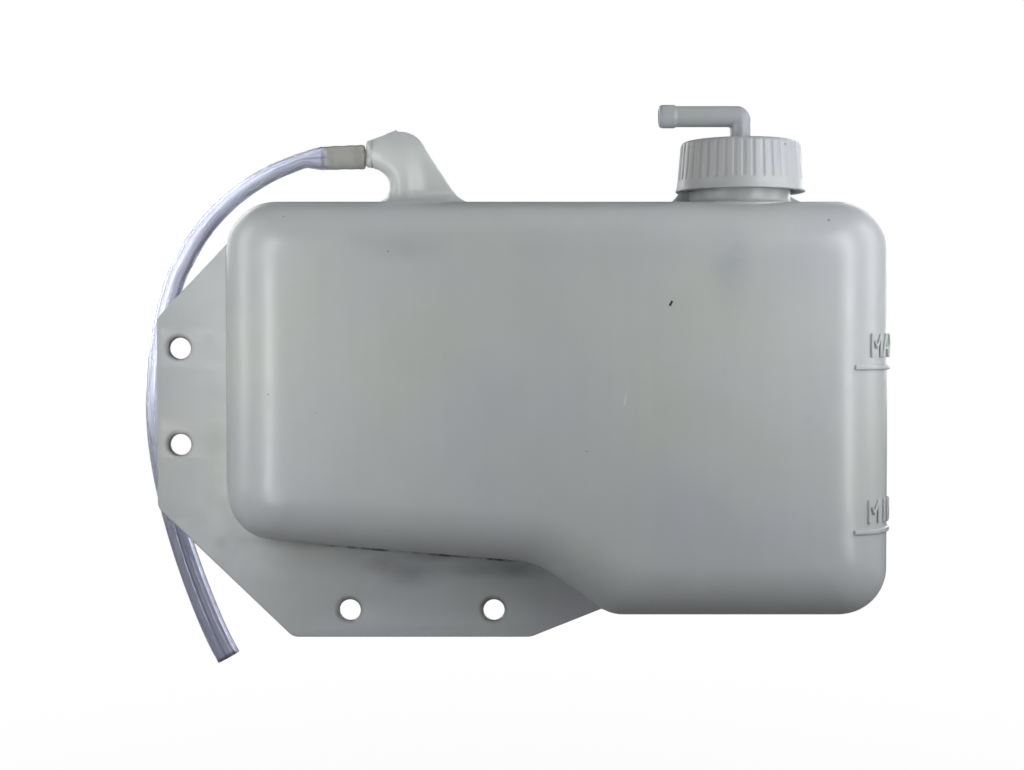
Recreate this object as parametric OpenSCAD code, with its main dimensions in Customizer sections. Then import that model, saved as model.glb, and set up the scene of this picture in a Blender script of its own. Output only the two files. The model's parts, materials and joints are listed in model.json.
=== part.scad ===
// Coolant expansion tank with a bolting flange, screw cap, hose elbow and overflow hose.
// X runs along the tank, Y runs into the mounting surface and Z is up.
// The origin is midway between the two side bolt holes, on the flange's back face.

/* [Tank body] */
// Distance from the side bolt holes to the left wall of the body
body_left = 22; // [20:0.5:30]
// Width of the body
body_w = 268; // [256:1:300]
// Height of the body's top above the side bolt holes' middle
body_top = 80; // [76:0.5:86]
// Full height of the body at its deep end
body_h = 168.5; // [162:0.5:176]
// Height of the shallow end at its outer wall
shallow_h = 136.7; // [128:0.1:141]
// Slope of the shallow end's floor, in degrees
floor_slope = 4.8; // [2:0.1:7]
// Slope of the ramp down to the deep end, in degrees
ramp_slope = 35.3; // [32:0.1:42]
// Distance from the left wall to the deep end's flat floor
deep_start = 155; // [145:1:165]
// Depth of the front half, from the parting plane
front_depth = 42.5; // [38:0.5:52]
// Depth of the back half, from the parting plane
back_depth = 35.5; // [32:0.5:46]
// Wall thickness of the blown body
wall_t = 2; // [1.4:0.1:2.6]
// Draft of the side walls away from the parting plane, in degrees
draft = 2.5; // [1:0.1:3.5]
// Radius of the long front edges
front_edge_r = 24; // [18:0.5:26]
// Radius of the back edges
back_edge_r = 15; // [10:0.5:18]
// Radius of the four outer corners, seen from the front
corner_r = 21; // [17:0.5:24]
// Height of the raised seam bead along the parting plane
seam_proud = 0.5; // [0.3:0.1:0.8]

/* [Flange] */
// Thickness of the flange
flange_t = 3; // [2.4:0.1:4]
// Spacing of the two side bolt holes
side_pitch = 40; // [36:0.5:46]
// Spacing of the two bottom bolt holes
bottom_pitch = 60; // [54:0.5:66]
// Diameter of the four bolt holes
bolt_hole_d = 8.8; // [6.6:0.1:9.4]
// Distance from the side bolt holes to the middle of the bottom pair
bottom_mid_x = 100.3; // [94:0.1:106]
// Depth of the bottom pair below the side bolt holes' middle
bottom_drop = 89.1; // [87.5:0.1:91]
// Width of flange outside the side bolt holes
side_margin = 9.7; // [8.5:0.1:12]
// Height of flange below the bottom bolt holes
bottom_margin = 11.3; // [9:0.1:13]
// Width of flange beyond the right bottom bolt hole
end_margin = 15.3; // [13:0.1:18]
// Height of the upper end of the flange's left edge above the side bolt holes' middle
side_top = 32.4; // [30.5:0.1:34]
// Depth of the lower end of the flange's left edge below the side bolt holes' middle
side_low = 46.4; // [40:0.1:50]
// Slope of the flange's upper left edge, in degrees
upper_slope = 46.6; // [45:0.1:49]
// Slope of the flange's lower left edge, in degrees
lower_slope = 43.9; // [42:0.1:50]
// Slope of the flange's edge up to the deep end, in degrees
sweep_slope = 21.7; // [19:0.1:24]
// Radius of the flange's outer corners
flange_corner_r = 6; // [3:0.5:8]

/* [Neck] */
// Distance from the body's left wall to the neck's axis
neck_from_left = 210.4; // [200:0.2:215]
// Outer diameter of the neck at the root of its thread
neck_d = 41; // [40:0.1:41.4]
// Bore of the neck
neck_bore_d = 35; // [32:0.1:36]
// Height of the neck's mouth above the body's top
neck_h = 19.2; // [18.4:0.1:20]
// Pitch of the neck's and the cap's thread
thread_pitch = 4; // [3.6:0.1:4.4]
// Height of the neck's thread
thread_h = 1.5; // [1.1:0.1:1.6]
// Turns of thread on the neck
neck_turns = 1.75; // [1.25:0.25:1.75]
// Height of the gusset on the left of the neck
gusset_h = 4.4; // [3:0.1:5.4]
// Width of that gusset at its foot
gusset_w = 7.6; // [5:0.1:9]

/* [Spout] */
// Distance from the body's left wall to the spigot's shoulder
spout_from_left = 55.5; // [50:0.5:60]
// Height of the spigot's axis above the body's top
spout_rise = 20; // [18.5:0.5:22]
// Outer diameter of the spout's bent tube
spout_d = 11; // [10.4:0.1:12]
// Inner radius of the spout's bend
spout_bend_r = 7; // [6:0.5:8]
// Outer diameter of the hose spigot
spigot_d = 6.8; // [5.6:0.1:6.8]
// Length of the hose spigot
spigot_l = 18.7; // [14:0.1:22]
// Bore of the hose spigot
spigot_bore_d = 4.4; // [3:0.1:4.6]
// Thickness of the web behind the spout's bend
web_t = 3; // [2.4:0.1:4]
// Radius of the web's crown round the bend
web_crown_r = 11.5; // [10.5:0.1:12.5]
// Length of the web's foot to the right of the spout's upright
web_foot_l = 24; // [20:0.5:28]
// Height of the thick foot that carries the spout
foot_h = 4.4; // [3:0.1:6]

/* [Level marks] */
// Height of the upper mark above the side bolt holes' middle
upper_mark_z = 12.8; // [5:0.1:30]
// Depth of the lower mark below the side bolt holes' middle
lower_mark_z = 52; // [40:0.1:58]
// Height of a mark's face
mark_h = 2; // [1.2:0.1:3]
// How far a mark stands out of the wall
mark_proud = 1; // [0.6:0.1:1.4]
// Length of a mark across the front edge and the side wall
mark_l = 18; // [12:0.5:22]
// Distance from the parting plane to the rear end of a mark
mark_back = 17; // [10:0.5:20]

/* [Cap] */
// Outer diameter over the ribs at the top
cap_top_d = 49.4; // [49:0.1:51]
// Outer diameter over the ribs at the foot of the skirt
cap_foot_d = 51.8; // [51.2:0.1:53]
// Outer diameter of the flared lip
cap_lip_d = 53.4; // [53.2:0.1:56]
// Height of the cap
cap_h = 20.6; // [19.6:0.1:21.4]
// Thickness of the cap's top
cap_top_t = 2.2; // [1.6:0.1:2.6]
// Height of the plain band and lip below the ribs
cap_band_h = 4.2; // [3:0.1:5]
// Number of grip ribs
rib_count = 42; // [30:1:48]
// Depth of the grooves between the ribs
rib_depth = 0.6; // [0.3:0.1:0.8]
// Turns of thread in the cap
cap_turns = 1.25; // [1:0.25:1.5]

/* [Elbow] */
// Outer diameter of the elbow's tube
elbow_d = 8.6; // [8:0.1:9.2]
// Bore of the elbow's tube
elbow_bore_d = 5.6; // [4:0.1:6.2]
// Height of the level leg's axis above the cap
elbow_rise = 10.7; // [9.5:0.1:13]
// Length of the level leg from the neck's axis to its tip
elbow_reach = 33.9; // [28:0.1:40]
// Diameter of the barb at the tip
barb_d = 9.6; // [9.4:0.1:10.4]
// Length of the barb
barb_l = 7.4; // [6:0.1:9]
// Outer radius of the elbow's bend
elbow_bend_r = 5.8; // [5:0.1:7]
// Diameter of the sealing disc under the cap's top
disc_d = 39.6; // [38:0.1:40]
// Thickness of the sealing disc
disc_t = 1.8; // [1.4:0.1:2.2]
// Length of the lower nipple below the disc
lower_nipple_l = 17; // [12:0.5:22]

/* [Seal and dip tube] */
// Thickness of the seal ring
seal_t = 2; // [1.6:0.1:2.4]
// Width of the seal ring, which is as wide outside as the sealing disc
seal_w = 3.3; // [2.6:0.1:4]
// Outer diameter of the dip tube
dip_d = 12; // [11.6:0.1:13]
// Gap between the dip tube's foot and the tank's floor
dip_gap = 8; // [5:0.5:20]

/* [Overflow hose] */
// Outer diameter of the hose
hose_d = 10; // [9.4:0.1:10.6]
// Bore of the hose
hose_bore_d = 7; // [7:0.1:7.6]

/* [Fits] */
// Clearance round a part that turns in a hole
turn_play = 0.1; // [0.05:0.01:0.2]
// Clearance round a tube that is pushed on a nipple
push_play = 0.1; // [0.05:0.01:0.2]
// Clearance between the cap's thread and the neck
thread_play = 0.5; // [0.4:0.05:0.6]

/* [Hidden] */

$fn = 64;
over = 1;
tank_color = [0.72, 0.74, 0.75];
cap_color = [0.70, 0.72, 0.73];
elbow_color = [0.66, 0.68, 0.71];
seal_color = [0.30, 0.31, 0.32];
dip_color = [0.60, 0.63, 0.70];
hose_color = [0.62, 0.65, 0.74];

// Places of the main features
part_y = -flange_t / 2;
left_x = body_left;
right_x = body_left + body_w;
floor_z = body_top - body_h;
step_z = body_top - shallow_h;
neck_x = body_left + neck_from_left;
mouth_z = body_top + neck_h;
cap_top_z = mouth_z + seal_t + disc_t + cap_top_t;
cap_foot_z = cap_top_z - cap_h;
shoulder_x = body_left + spout_from_left;
spout_z = body_top + spout_rise;
elbow_z = cap_top_z + elbow_rise;

// Sharp corners of the body's outline at the parting plane, anticlockwise in X and Z
ramp_tan = tan(ramp_slope);
floor_tan = tan(floor_slope);
bend_run = (deep_start * ramp_tan - (step_z - floor_z)) / (ramp_tan - floor_tan);
body_corners = [
    [left_x, step_z],
    [left_x + bend_run, step_z - bend_run * floor_tan],
    [left_x + deep_start, floor_z],
    [right_x, floor_z],
    [right_x, body_top],
    [left_x, body_top]
];
// Corner radii at the parting plane and at the front face, and the steps of each corner's arc
outer_radii = [corner_r, 28, 18, corner_r, corner_r, corner_r];
face_radii = [8, 50, 8, 8, 8, 8];
arc_steps = [7, 4, 4, 7, 7, 7];
// How far each edge moves in for each millimetre of rounding, from the shallow floor round to the left wall
edge_share = [0.96, 0.96, 0.96, 1.04, 0.82, 1.04];
edge_steps = 7;

function unit2(v) = v / norm(v);
function turn2(v, a) = [v[0] * cos(a) - v[1] * sin(a), v[0] * sin(a) + v[1] * cos(a)];
function cross2(a, b) = a[0] * b[1] - a[1] * b[0];
function meet(p, d, q, e) = p + d * cross2(q - p, e) / cross2(d, e);
function edge_dir(c, i) = unit2(c[(i + 1) % len(c)] - c[i]);
function inward(d) = [-d[1], d[0]];

// Corner i of outline c after each edge has moved in by inset times its share
function moved_corner(c, i, inset, share) =
    let (
        n = len(c),
        h = (i + n - 1) % n,
        d = edge_dir(c, h),
        e = edge_dir(c, i)
    )
    meet(c[h] + inward(d) * inset * share[h], d, c[i] + inward(e) * inset * share[i], e);

// Arc points of corner i, rounded with radius r in the given number of steps
function corner_arc(c, i, inset, share, r, steps) =
    let (
        n = len(c),
        d = edge_dir(c, (i + n - 1) % n),
        e = edge_dir(c, i),
        bend = atan2(cross2(d, e), d * e),
        side = sign(bend),
        start = moved_corner(c, i, inset, share) - d * r * tan(abs(bend) / 2),
        middle = start + inward(d) * r * side
    )
    [for (k = [0:steps]) middle - turn2(inward(d), bend * k / steps) * r * side];

// Closed outline with every corner rounded
function rounded_outline(c, inset, share, radii, steps) =
    [for (i = [0:len(c) - 1]) each corner_arc(c, i, inset, share, radii[i], steps[i])];

// One ring of the body: t is 0 where the walls are straight and 1 at the flat face
function body_ring(grow, depth, edge_r, t, straight) =
    let (
        reach = depth - edge_r,
        lean = tan(draft) * (straight ? 0 : reach),
        inset = lean + edge_r * (1 - cos(90 * t)) - grow,
        share = [for (s = edge_share) 1 + (s - 1) * t],
        radii = [for (i = [0:5]) outer_radii[i] + (face_radii[i] - outer_radii[i]) * t]
    )
    rounded_outline(body_corners, inset, share, radii, arc_steps);

function at_y(ring, y) = [for (p = ring) [p[0], y, p[1]]];

// All rings of the body from the back face to the front face, grown outward by grow
function body_rings(grow) = [
    for (k = [edge_steps:-1:0])
        let (t = k / edge_steps)
        at_y(body_ring(grow, back_depth, back_edge_r, t, false),
             part_y + back_depth - back_edge_r + (back_edge_r + grow) * sin(90 * t)),
    at_y(body_ring(grow, 0, 0, 0, true), part_y),
    for (k = [0:edge_steps])
        let (t = k / edge_steps)
        at_y(body_ring(grow, front_depth, front_edge_r, t, false),
             part_y - front_depth + front_edge_r - (front_edge_r + grow) * sin(90 * t))
];

function middle(ring) = [for (p = ring) 1 / len(ring)] * ring;

// Solid through a list of rings that have the same number of points, with its ends fanned from their middles
module loft(rings) {
    n = len(rings[0]);
    last = len(rings) - 1;
    first_middle = (last + 1) * n;
    points = concat([for (ring = rings) each ring], [middle(rings[0]), middle(rings[last])]);
    sides = [
        for (k = [0:last - 1])
            for (i = [0:n - 1])
                let (
                    a = k * n + i,
                    b = k * n + (i + 1) % n,
                    c = a + n,
                    d = b + n
                )
                each [[a, d, b], [a, c, d]]
    ];
    ends = [
        for (i = [0:n - 1])
            let (j = (i + 1) % n)
            each [[first_middle, i, j], [first_middle + 1, last * n + j, last * n + i]]
    ];
    polyhedron(points, concat(sides, ends), convexity = 6);
}

module body_form(grow) {
    loft(body_rings(grow));
}

// Flat plate in the parting plane from an outline in X and Z
module plate(outline, thickness) {
    translate([0, part_y + thickness / 2, 0])
        rotate([90, 0, 0])
            linear_extrude(thickness)
                polygon(outline);
}

// Flange corners, anticlockwise, with three of them hidden inside the body
flange_floor_z = -bottom_drop - bottom_margin;
flange_end_x = bottom_mid_x + bottom_pitch / 2 + end_margin;
sweep_run = 44;
tuck = 14;
flange_corners = [
    [-side_margin, -side_low],
    [-side_margin + (-side_low - flange_floor_z) / tan(lower_slope), flange_floor_z],
    [flange_end_x, flange_floor_z],
    [flange_end_x + sweep_run, flange_floor_z + sweep_run * tan(sweep_slope)],
    [body_left + 4 * tuck, step_z + 2 * tuck],
    [body_left + 2 * tuck, side_top + tuck],
    [body_left + tuck / 2, side_top + (body_left + tuck / 2 + side_margin) * tan(upper_slope)],
    [-side_margin, side_top]
];
inside_r = 1;
flange_radii = [
    flange_corner_r, flange_corner_r, flange_corner_r + 2,
    inside_r, inside_r, inside_r, inside_r, flange_corner_r
];

module flange() {
    plate(
        rounded_outline(flange_corners, 0, [for (c = flange_corners) 1], flange_radii,
            [for (c = flange_corners) 6]),
        flange_t
    );
}

module bolt_hole(x, z) {
    translate([x, part_y, z])
        rotate([90, 0, 0])
            cylinder(h = flange_t + 2 * over, d = bolt_hole_d, center = true);
}

module bolt_holes() {
    for (side = [-1, 1]) {
        bolt_hole(0, side * side_pitch / 2);
        bolt_hole(bottom_mid_x + side * bottom_pitch / 2, -bottom_drop);
    }
}

// Helical ridge round the Z axis: root and crest are radii, and the two widths are along Z
module helix_ridge(root, crest, root_w, crest_w, turns, pitch) {
    steps = round(turns * 24);
    fade = 2;
    rings = [
        for (k = [0:steps])
            let (
                full = min(1, (k + 0.3) / fade, (steps - k + 0.3) / fade),
                tip = root + (crest - root) * full,
                z = pitch * k / 24,
                a = 360 * k / 24
            )
            [
                for (p = [[root, -root_w], [tip, -crest_w], [tip, crest_w], [root, root_w]])
                    [p[0] * cos(a), p[0] * sin(a), z + p[1] / 2]
            ]
    ];
    if (crest > root)
        loft([for (k = [steps:-1:0]) rings[k]]);
    else
        loft(rings);
}

thread_sink = 0.4;
thread_root_w = 0.55 * thread_pitch;
thread_crest_w = 0.22 * thread_pitch;
thread_low_z = cap_foot_z + 3.4;

module neck_outside() {
    low_z = body_top - 4;
    translate([neck_x, part_y, low_z])
        cylinder(h = mouth_z - low_z, d = neck_d);
    translate([neck_x, part_y, thread_low_z])
        helix_ridge(neck_d / 2 - thread_sink, neck_d / 2 + thread_h, thread_root_w, thread_crest_w,
            neck_turns, thread_pitch);
}

module neck_bore() {
    low_z = body_top - wall_t - 4;
    translate([neck_x, part_y, low_z])
        cylinder(h = mouth_z - low_z + over, d = neck_bore_d);
}

// Small webs in the parting plane at the foot of the neck: a gusset on the left and a fillet on the right
module neck_webs() {
    r = neck_d / 2;
    sink = 3;
    step = 0.6;
    fillet_w = 6;
    fillet_h = 2.5;
    plate([
        [neck_x - r + over, body_top - sink],
        [neck_x - r + over, body_top + gusset_h],
        [neck_x - r - gusset_w / 2, body_top + gusset_h],
        [neck_x - r - gusset_w, body_top - step],
        [neck_x - r - gusset_w, body_top - sink]
    ], web_t);
    plate([
        [neck_x + r - over, body_top - sink],
        [neck_x + r + fillet_w, body_top - sink],
        [neck_x + r + fillet_w, body_top],
        [neck_x + r + fillet_w / 4, body_top + fillet_h],
        [neck_x + r - over, body_top + fillet_h]
    ], web_t);
}

// The spout rises from the body, bends to the left and ends in the hose spigot
bend_mid_r = spout_bend_r + spout_d / 2;
bend_lead = 3;
bend_x = shoulder_x + bend_lead;
bend_z = spout_z - bend_mid_r;
stem_x = bend_x + bend_mid_r;

// Bent rod of diameter d along the spout's centreline, from stem_low_z to end_x
module spout_path(d, stem_low_z, end_x) {
    translate([bend_x, part_y, bend_z])
        rotate([90, 0, 0])
            rotate_extrude(angle = 90)
                translate([bend_mid_r, 0])
                    circle(d = d);
    translate([stem_x, part_y, stem_low_z])
        cylinder(h = bend_z - stem_low_z, d = d);
    translate([bend_x, part_y, spout_z])
        rotate([0, -90, 0])
            cylinder(h = bend_x - end_x, d = d);
}

// Outline of the web that fills the outside of the bend and runs down to its foot
web_sink = 3;
web_crown_x = stem_x - 1.6;
web_crown_z = spout_z - 1.8;
web_foot_x = stem_x + web_foot_l;
web_outline = [
    [stem_x - spout_d / 3, body_top - web_sink],
    [web_foot_x + 3, body_top - web_sink],
    [web_foot_x + 3, body_top],
    [web_foot_x - 1, body_top + 2],
    [web_foot_x - 3.6, body_top + 5],
    for (a = [35:11:145]) [web_crown_x + web_crown_r * cos(a), web_crown_z + web_crown_r * sin(a)],
    [shoulder_x + 0.2, spout_z + spout_d / 2 - 0.3],
    [shoulder_x + 0.2, spout_z],
    [stem_x - spout_d / 3, bend_z + 5]
];

// Foot that thickens the spout and its web where they meet the body's top
module foot_disc(x, z, d, h) {
    translate([x, part_y, z])
        cylinder(h = h, d = d, $fn = 32);
}

module spout_foot() {
    hull() {
        foot_disc(stem_x, body_top - web_sink, spout_d + 2, web_sink);
        foot_disc(web_foot_x - 5, body_top - web_sink, 2 * web_t + 1, web_sink);
        foot_disc(stem_x, body_top, spout_d, foot_h);
        foot_disc(web_foot_x - 7, body_top, web_t + 1, foot_h);
    }
}

module spigot() {
    tip_l = 1;
    translate([shoulder_x + over, part_y, spout_z])
        rotate([0, -90, 0])
            rotate_extrude()
                polygon([
                    [0, 0],
                    [spigot_d / 2, 0],
                    [spigot_d / 2, spigot_l + over - tip_l],
                    [spigot_d / 2 - tip_l / 2, spigot_l + over],
                    [0, spigot_l + over]
                ]);
}

module spout_outside() {
    spout_path(spout_d, body_top - web_sink, shoulder_x);
    plate(web_outline, web_t);
    spout_foot();
    spigot();
}

module spout_bore() {
    spout_path(spout_d - 2 * wall_t, body_top - wall_t - 4, shoulder_x + wall_t);
    translate([shoulder_x + wall_t + over, part_y, spout_z])
        rotate([0, -90, 0])
            cylinder(h = wall_t + spigot_l + 2 * over, d = spigot_bore_d);
}

// Raised level mark that wraps the front edge on the right
module level_mark(z) {
    margin = 5;
    side_reach = front_depth - mark_back;
    intersection() {
        body_form(mark_proud);
        translate([right_x - mark_l, part_y - front_depth - margin, z - mark_h / 2])
            cube([mark_l + margin, side_reach + margin, mark_h]);
    }
}

module seam_bead() {
    bead_t = 1.2;
    plate(body_ring(seam_proud, 0, 0, 0, true), bead_t);
}

module tank() {
    color(tank_color)
        difference() {
            union() {
                body_form(0);
                flange();
                seam_bead();
                neck_outside();
                neck_webs();
                spout_outside();
                level_mark(upper_mark_z);
                level_mark(-lower_mark_z);
            }
            body_form(-wall_t);
            neck_bore();
            spout_bore();
            bolt_holes();
        }
}

// Ribbed skirt: crests and grooves alternate, and the skirt widens towards its foot
cap_inner_r = neck_d / 2 + thread_h + thread_play;
cap_ribs_z = cap_foot_z + cap_band_h;
cap_ribs_h = cap_h - cap_band_h - 1.6;
rib_angle = 360 / rib_count;

function rib_ring(crest, depth, z) = [
    for (i = [0:rib_count - 1])
        for (p = [[0, crest - depth], [0.3, crest - depth], [0.5, crest], [0.8, crest]])
            let (a = (i + p[0]) * rib_angle)
            [p[1] * cos(a), p[1] * sin(a), z]
];

module cap_skirt() {
    foot_r = cap_foot_d / 2;
    top_r = cap_top_d / 2;
    loft([
        rib_ring(foot_r, rib_depth, cap_ribs_z - 1),
        rib_ring(top_r, rib_depth, cap_ribs_z + cap_ribs_h - 1),
        rib_ring(top_r - 0.4, rib_depth / 2, cap_ribs_z + cap_ribs_h)
    ]);
}

// Plain band and flared lip below the ribs, and the rounded crown above them
module cap_band_and_crown() {
    foot_r = cap_foot_d / 2;
    lip_r = cap_lip_d / 2;
    crown_r = cap_top_d / 2 - 1.1;
    crown_edge_r = 1.9;
    crown_z = cap_top_z - crown_edge_r;
    rotate_extrude()
        polygon([
            [cap_inner_r - over, cap_foot_z],
            [lip_r, cap_foot_z],
            [lip_r, cap_foot_z + 0.7],
            [foot_r + 0.3, cap_foot_z + 2.4],
            [foot_r + 0.2, cap_ribs_z],
            [cap_inner_r - over, cap_ribs_z]
        ]);
    rotate_extrude()
        polygon([
            [0, crown_z - 1],
            [crown_r, crown_z - 1],
            for (a = [0:15:75]) [crown_r + crown_edge_r * (cos(a) - 1), crown_z + crown_edge_r * sin(a)],
            [crown_r - crown_edge_r, cap_top_z],
            [0, cap_top_z]
        ]);
}

module cap() {
    color(cap_color) {
        translate([neck_x, part_y, 0])
            difference() {
                union() {
                    cap_skirt();
                    cap_band_and_crown();
                }
                translate([0, 0, cap_foot_z - over])
                    cylinder(h = cap_h - cap_top_t + over, r = cap_inner_r);
                translate([0, 0, cap_foot_z])
                    cylinder(h = cap_h + over, d = elbow_d + 2 * turn_play);
            }
        translate([neck_x, part_y, thread_low_z - thread_pitch / 2])
            rotate([0, 0, 180])
                translate([0, 0, thread_pitch / 2])
                    helix_ridge(cap_inner_r + thread_sink, neck_d / 2 + thread_play, thread_root_w - 0.1,
                        thread_crest_w - 0.1, cap_turns, thread_pitch);
    }
}

// Elbow path: level leg, tight outer bend and upright leg
module elbow_path(d, tip_x, low_z, bend_r) {
    centre = bend_r - elbow_d / 2;
    corner_x = neck_x - centre;
    corner_z = elbow_z - centre;
    translate([corner_x, part_y, corner_z])
        rotate([90, 0, 0])
            rotate_extrude(angle = 90)
                intersection() {
                    translate([centre, 0])
                        circle(d = d);
                    translate([0, -d])
                        square([2 * d, 2 * d]);
                }
    translate([neck_x, part_y, low_z])
        cylinder(h = corner_z - low_z, d = d);
    translate([corner_x, part_y, elbow_z])
        rotate([0, -90, 0])
            cylinder(h = corner_x - tip_x, d = d);
}

module elbow() {
    tip_x = neck_x - elbow_reach;
    disc_z = mouth_z + seal_t;
    low_z = disc_z - lower_nipple_l;
    nose = 1.8;
    color(elbow_color)
        difference() {
            union() {
                elbow_path(elbow_d, tip_x + nose, low_z, elbow_bend_r);
                translate([tip_x, part_y, elbow_z])
                    rotate([0, 90, 0])
                        rotate_extrude()
                            polygon([
                                [0, 0],
                                [barb_d / 2 - nose, 0],
                                for (a = [75:-15:15])
                                    [barb_d / 2 - nose + nose * cos(a), nose - nose * sin(a)],
                                [barb_d / 2, nose],
                                [barb_d / 2, barb_l - 0.8],
                                [elbow_d / 2, barb_l],
                                [0, barb_l]
                            ]);
                translate([neck_x, part_y, disc_z])
                    cylinder(h = disc_t, d = disc_d);
            }
            elbow_path(elbow_bore_d, tip_x - over, low_z - over, elbow_bend_r);
        }
}

module seal() {
    color(seal_color)
        translate([neck_x, part_y, mouth_z])
            difference() {
                cylinder(h = seal_t, d = disc_d);
                translate([0, 0, -over])
                    cylinder(h = seal_t + 2 * over, d = disc_d - 2 * seal_w);
            }
}

module dip_tube() {
    top_z = mouth_z + seal_t;
    low_z = floor_z + wall_t + dip_gap;
    color(dip_color)
        translate([neck_x, part_y, low_z])
            difference() {
                cylinder(h = top_z - low_z, d = dip_d);
                translate([0, 0, -over])
                    cylinder(h = top_z - low_z + 2 * over, d = elbow_d + 2 * push_play);
            }
}

// Route of the hose's centreline after the straight stretch on the spigot
hose_route = [
    [52, -1.5, 98.8],
    [46, -1.2, 97],
    [38, -0.4, 94],
    [29, 0.8, 89],
    [20, 2.4, 82],
    [11.5, 4.2, 73.5],
    [5, 5.6, 65],
    [0, 6.4, 56.5],
    [-3.8, 6.8, 48.5],
    [-7.6, 6.8, 34],
    [-10.2, 6.8, 18],
    [-11.4, 6.8, 3],
    [-11.2, 6.8, -13],
    [-9.4, 6.8, -28],
    [-6, 6.8, -45],
    [-1.2, 6.8, -62],
    [4, 6.8, -77],
    [10, 6.6, -92],
    [15, 6.4, -103],
    [19, 6.2, -110.5]
];
hose_sides = 12;
hose_points = concat(
    [for (x = [shoulder_x, shoulder_x - spigot_l / 2, shoulder_x - spigot_l]) [x, part_y, spout_z]],
    hose_route
);

// Directions along the route, square to each other
function hose_dir(i) =
    let (
        a = hose_points[max(i - 1, 0)],
        b = hose_points[min(i + 1, len(hose_points) - 1)]
    )
    (b - a) / norm(b - a);
function hose_up(d) = cross(d, [0, 1, 0]) / norm(cross(d, [0, 1, 0]));

function hose_ring(i, r) =
    let (
        d = i < 2 ? [-1, 0, 0] : hose_dir(i),
        u = hose_up(d),
        v = cross(u, d)
    )
    [
        for (k = [0:hose_sides - 1])
            let (a = 360 * k / hose_sides)
            hose_points[i] + r * (u * cos(a) + v * sin(a))
    ];

module overflow_hose() {
    outer_r = hose_d / 2;
    inner_r = hose_bore_d / 2 / cos(180 / hose_sides);
    n = hose_sides;
    m = len(hose_points);
    points = [
        for (r = [outer_r, inner_r])
            for (i = [0:m - 1])
                each hose_ring(i, r)
    ];
    function at(shell, i, k) = shell * m * n + i * n + k % n;
    faces = [
        for (k = [0:n - 1])
            each [
                for (i = [0:m - 2])
                    each [
                        [at(0, i, k), at(0, i, k + 1), at(0, i + 1, k + 1)],
                        [at(0, i, k), at(0, i + 1, k + 1), at(0, i + 1, k)],
                        [at(1, i, k), at(1, i + 1, k + 1), at(1, i, k + 1)],
                        [at(1, i, k), at(1, i + 1, k), at(1, i + 1, k + 1)]
                    ],
                [at(0, 0, k), at(1, 0, k + 1), at(0, 0, k + 1)],
                [at(0, 0, k), at(1, 0, k), at(1, 0, k + 1)],
                [at(0, m - 1, k), at(0, m - 1, k + 1), at(1, m - 1, k + 1)],
                [at(0, m - 1, k), at(1, m - 1, k + 1), at(1, m - 1, k)]
            ]
    ];
    color(hose_color)
        polyhedron(points, faces, convexity = 8);
}

tank();
cap();
elbow();
seal();
dip_tube();
overflow_hose();
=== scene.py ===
# %% [markdown]
# A coolant expansion tank, dressed for its picture.
# The tank is one blow-moulded shell of natural polyethylene with a flat bolting flange. A screw cap
# clamps a turning elbow on its neck, and a clear overflow hose is pushed on the spout.
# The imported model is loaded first, because every piece below is placed in its frame, in metres.

# %% Load the frame
import cmath
import json
import math

import bmesh
import bpy
import numpy as np
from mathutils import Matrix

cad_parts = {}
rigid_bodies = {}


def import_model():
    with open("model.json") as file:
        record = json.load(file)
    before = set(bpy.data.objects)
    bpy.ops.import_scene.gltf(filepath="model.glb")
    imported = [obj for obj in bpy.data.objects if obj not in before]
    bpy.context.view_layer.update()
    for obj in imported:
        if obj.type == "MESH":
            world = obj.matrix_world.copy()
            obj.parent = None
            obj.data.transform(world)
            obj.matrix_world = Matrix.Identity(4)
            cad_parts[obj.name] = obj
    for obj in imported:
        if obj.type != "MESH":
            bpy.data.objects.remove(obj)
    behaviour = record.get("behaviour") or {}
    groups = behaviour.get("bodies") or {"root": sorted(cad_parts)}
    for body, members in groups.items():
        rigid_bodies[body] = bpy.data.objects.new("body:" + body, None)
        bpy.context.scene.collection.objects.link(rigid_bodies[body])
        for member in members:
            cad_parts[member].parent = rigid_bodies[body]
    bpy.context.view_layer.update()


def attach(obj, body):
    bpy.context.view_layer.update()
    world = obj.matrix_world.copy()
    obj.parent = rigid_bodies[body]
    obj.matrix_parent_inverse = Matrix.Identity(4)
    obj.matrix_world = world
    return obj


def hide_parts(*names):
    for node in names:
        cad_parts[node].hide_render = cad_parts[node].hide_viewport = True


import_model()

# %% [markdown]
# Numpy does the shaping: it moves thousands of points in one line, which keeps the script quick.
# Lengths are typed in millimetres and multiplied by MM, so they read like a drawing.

MM = 0.001


def slope(degrees):
    return math.tan(math.radians(degrees))


def eased(t):
    """A share from 0 to 1 that starts and ends gently."""
    return t * t * (3 - 2 * t)


def new_object(name, data):
    made = bpy.data.objects.new(name, data)
    bpy.context.scene.collection.objects.link(made)
    return made


# %% [markdown]
# The camera stands square in front of the tank, a little above its middle, and looks down slightly.
# Its distance matters more than its lens: at 0.69 m the near edges of the tank spread outwards,
# and the ends of the level marks climb, as they do in a close photograph.

# %% Camera
IMAGE_W = 1024
FOCAL_PX = 1650
CAMERA_PLACE = (137.8 * MM, -687.75 * MM, 24.7 * MM)
LOOK_DOWN = 1.667
camera_data = bpy.data.cameras.new("camera")
camera_data.sensor_width = 36
camera_data.lens = FOCAL_PX / IMAGE_W * camera_data.sensor_width
camera = new_object("camera", camera_data)
camera.location = CAMERA_PLACE
camera.rotation_euler = (math.radians(90 - LOOK_DOWN), 0, 0)
bpy.context.scene.camera = camera
print("lens", round(camera_data.lens, 2), "mm")

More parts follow.
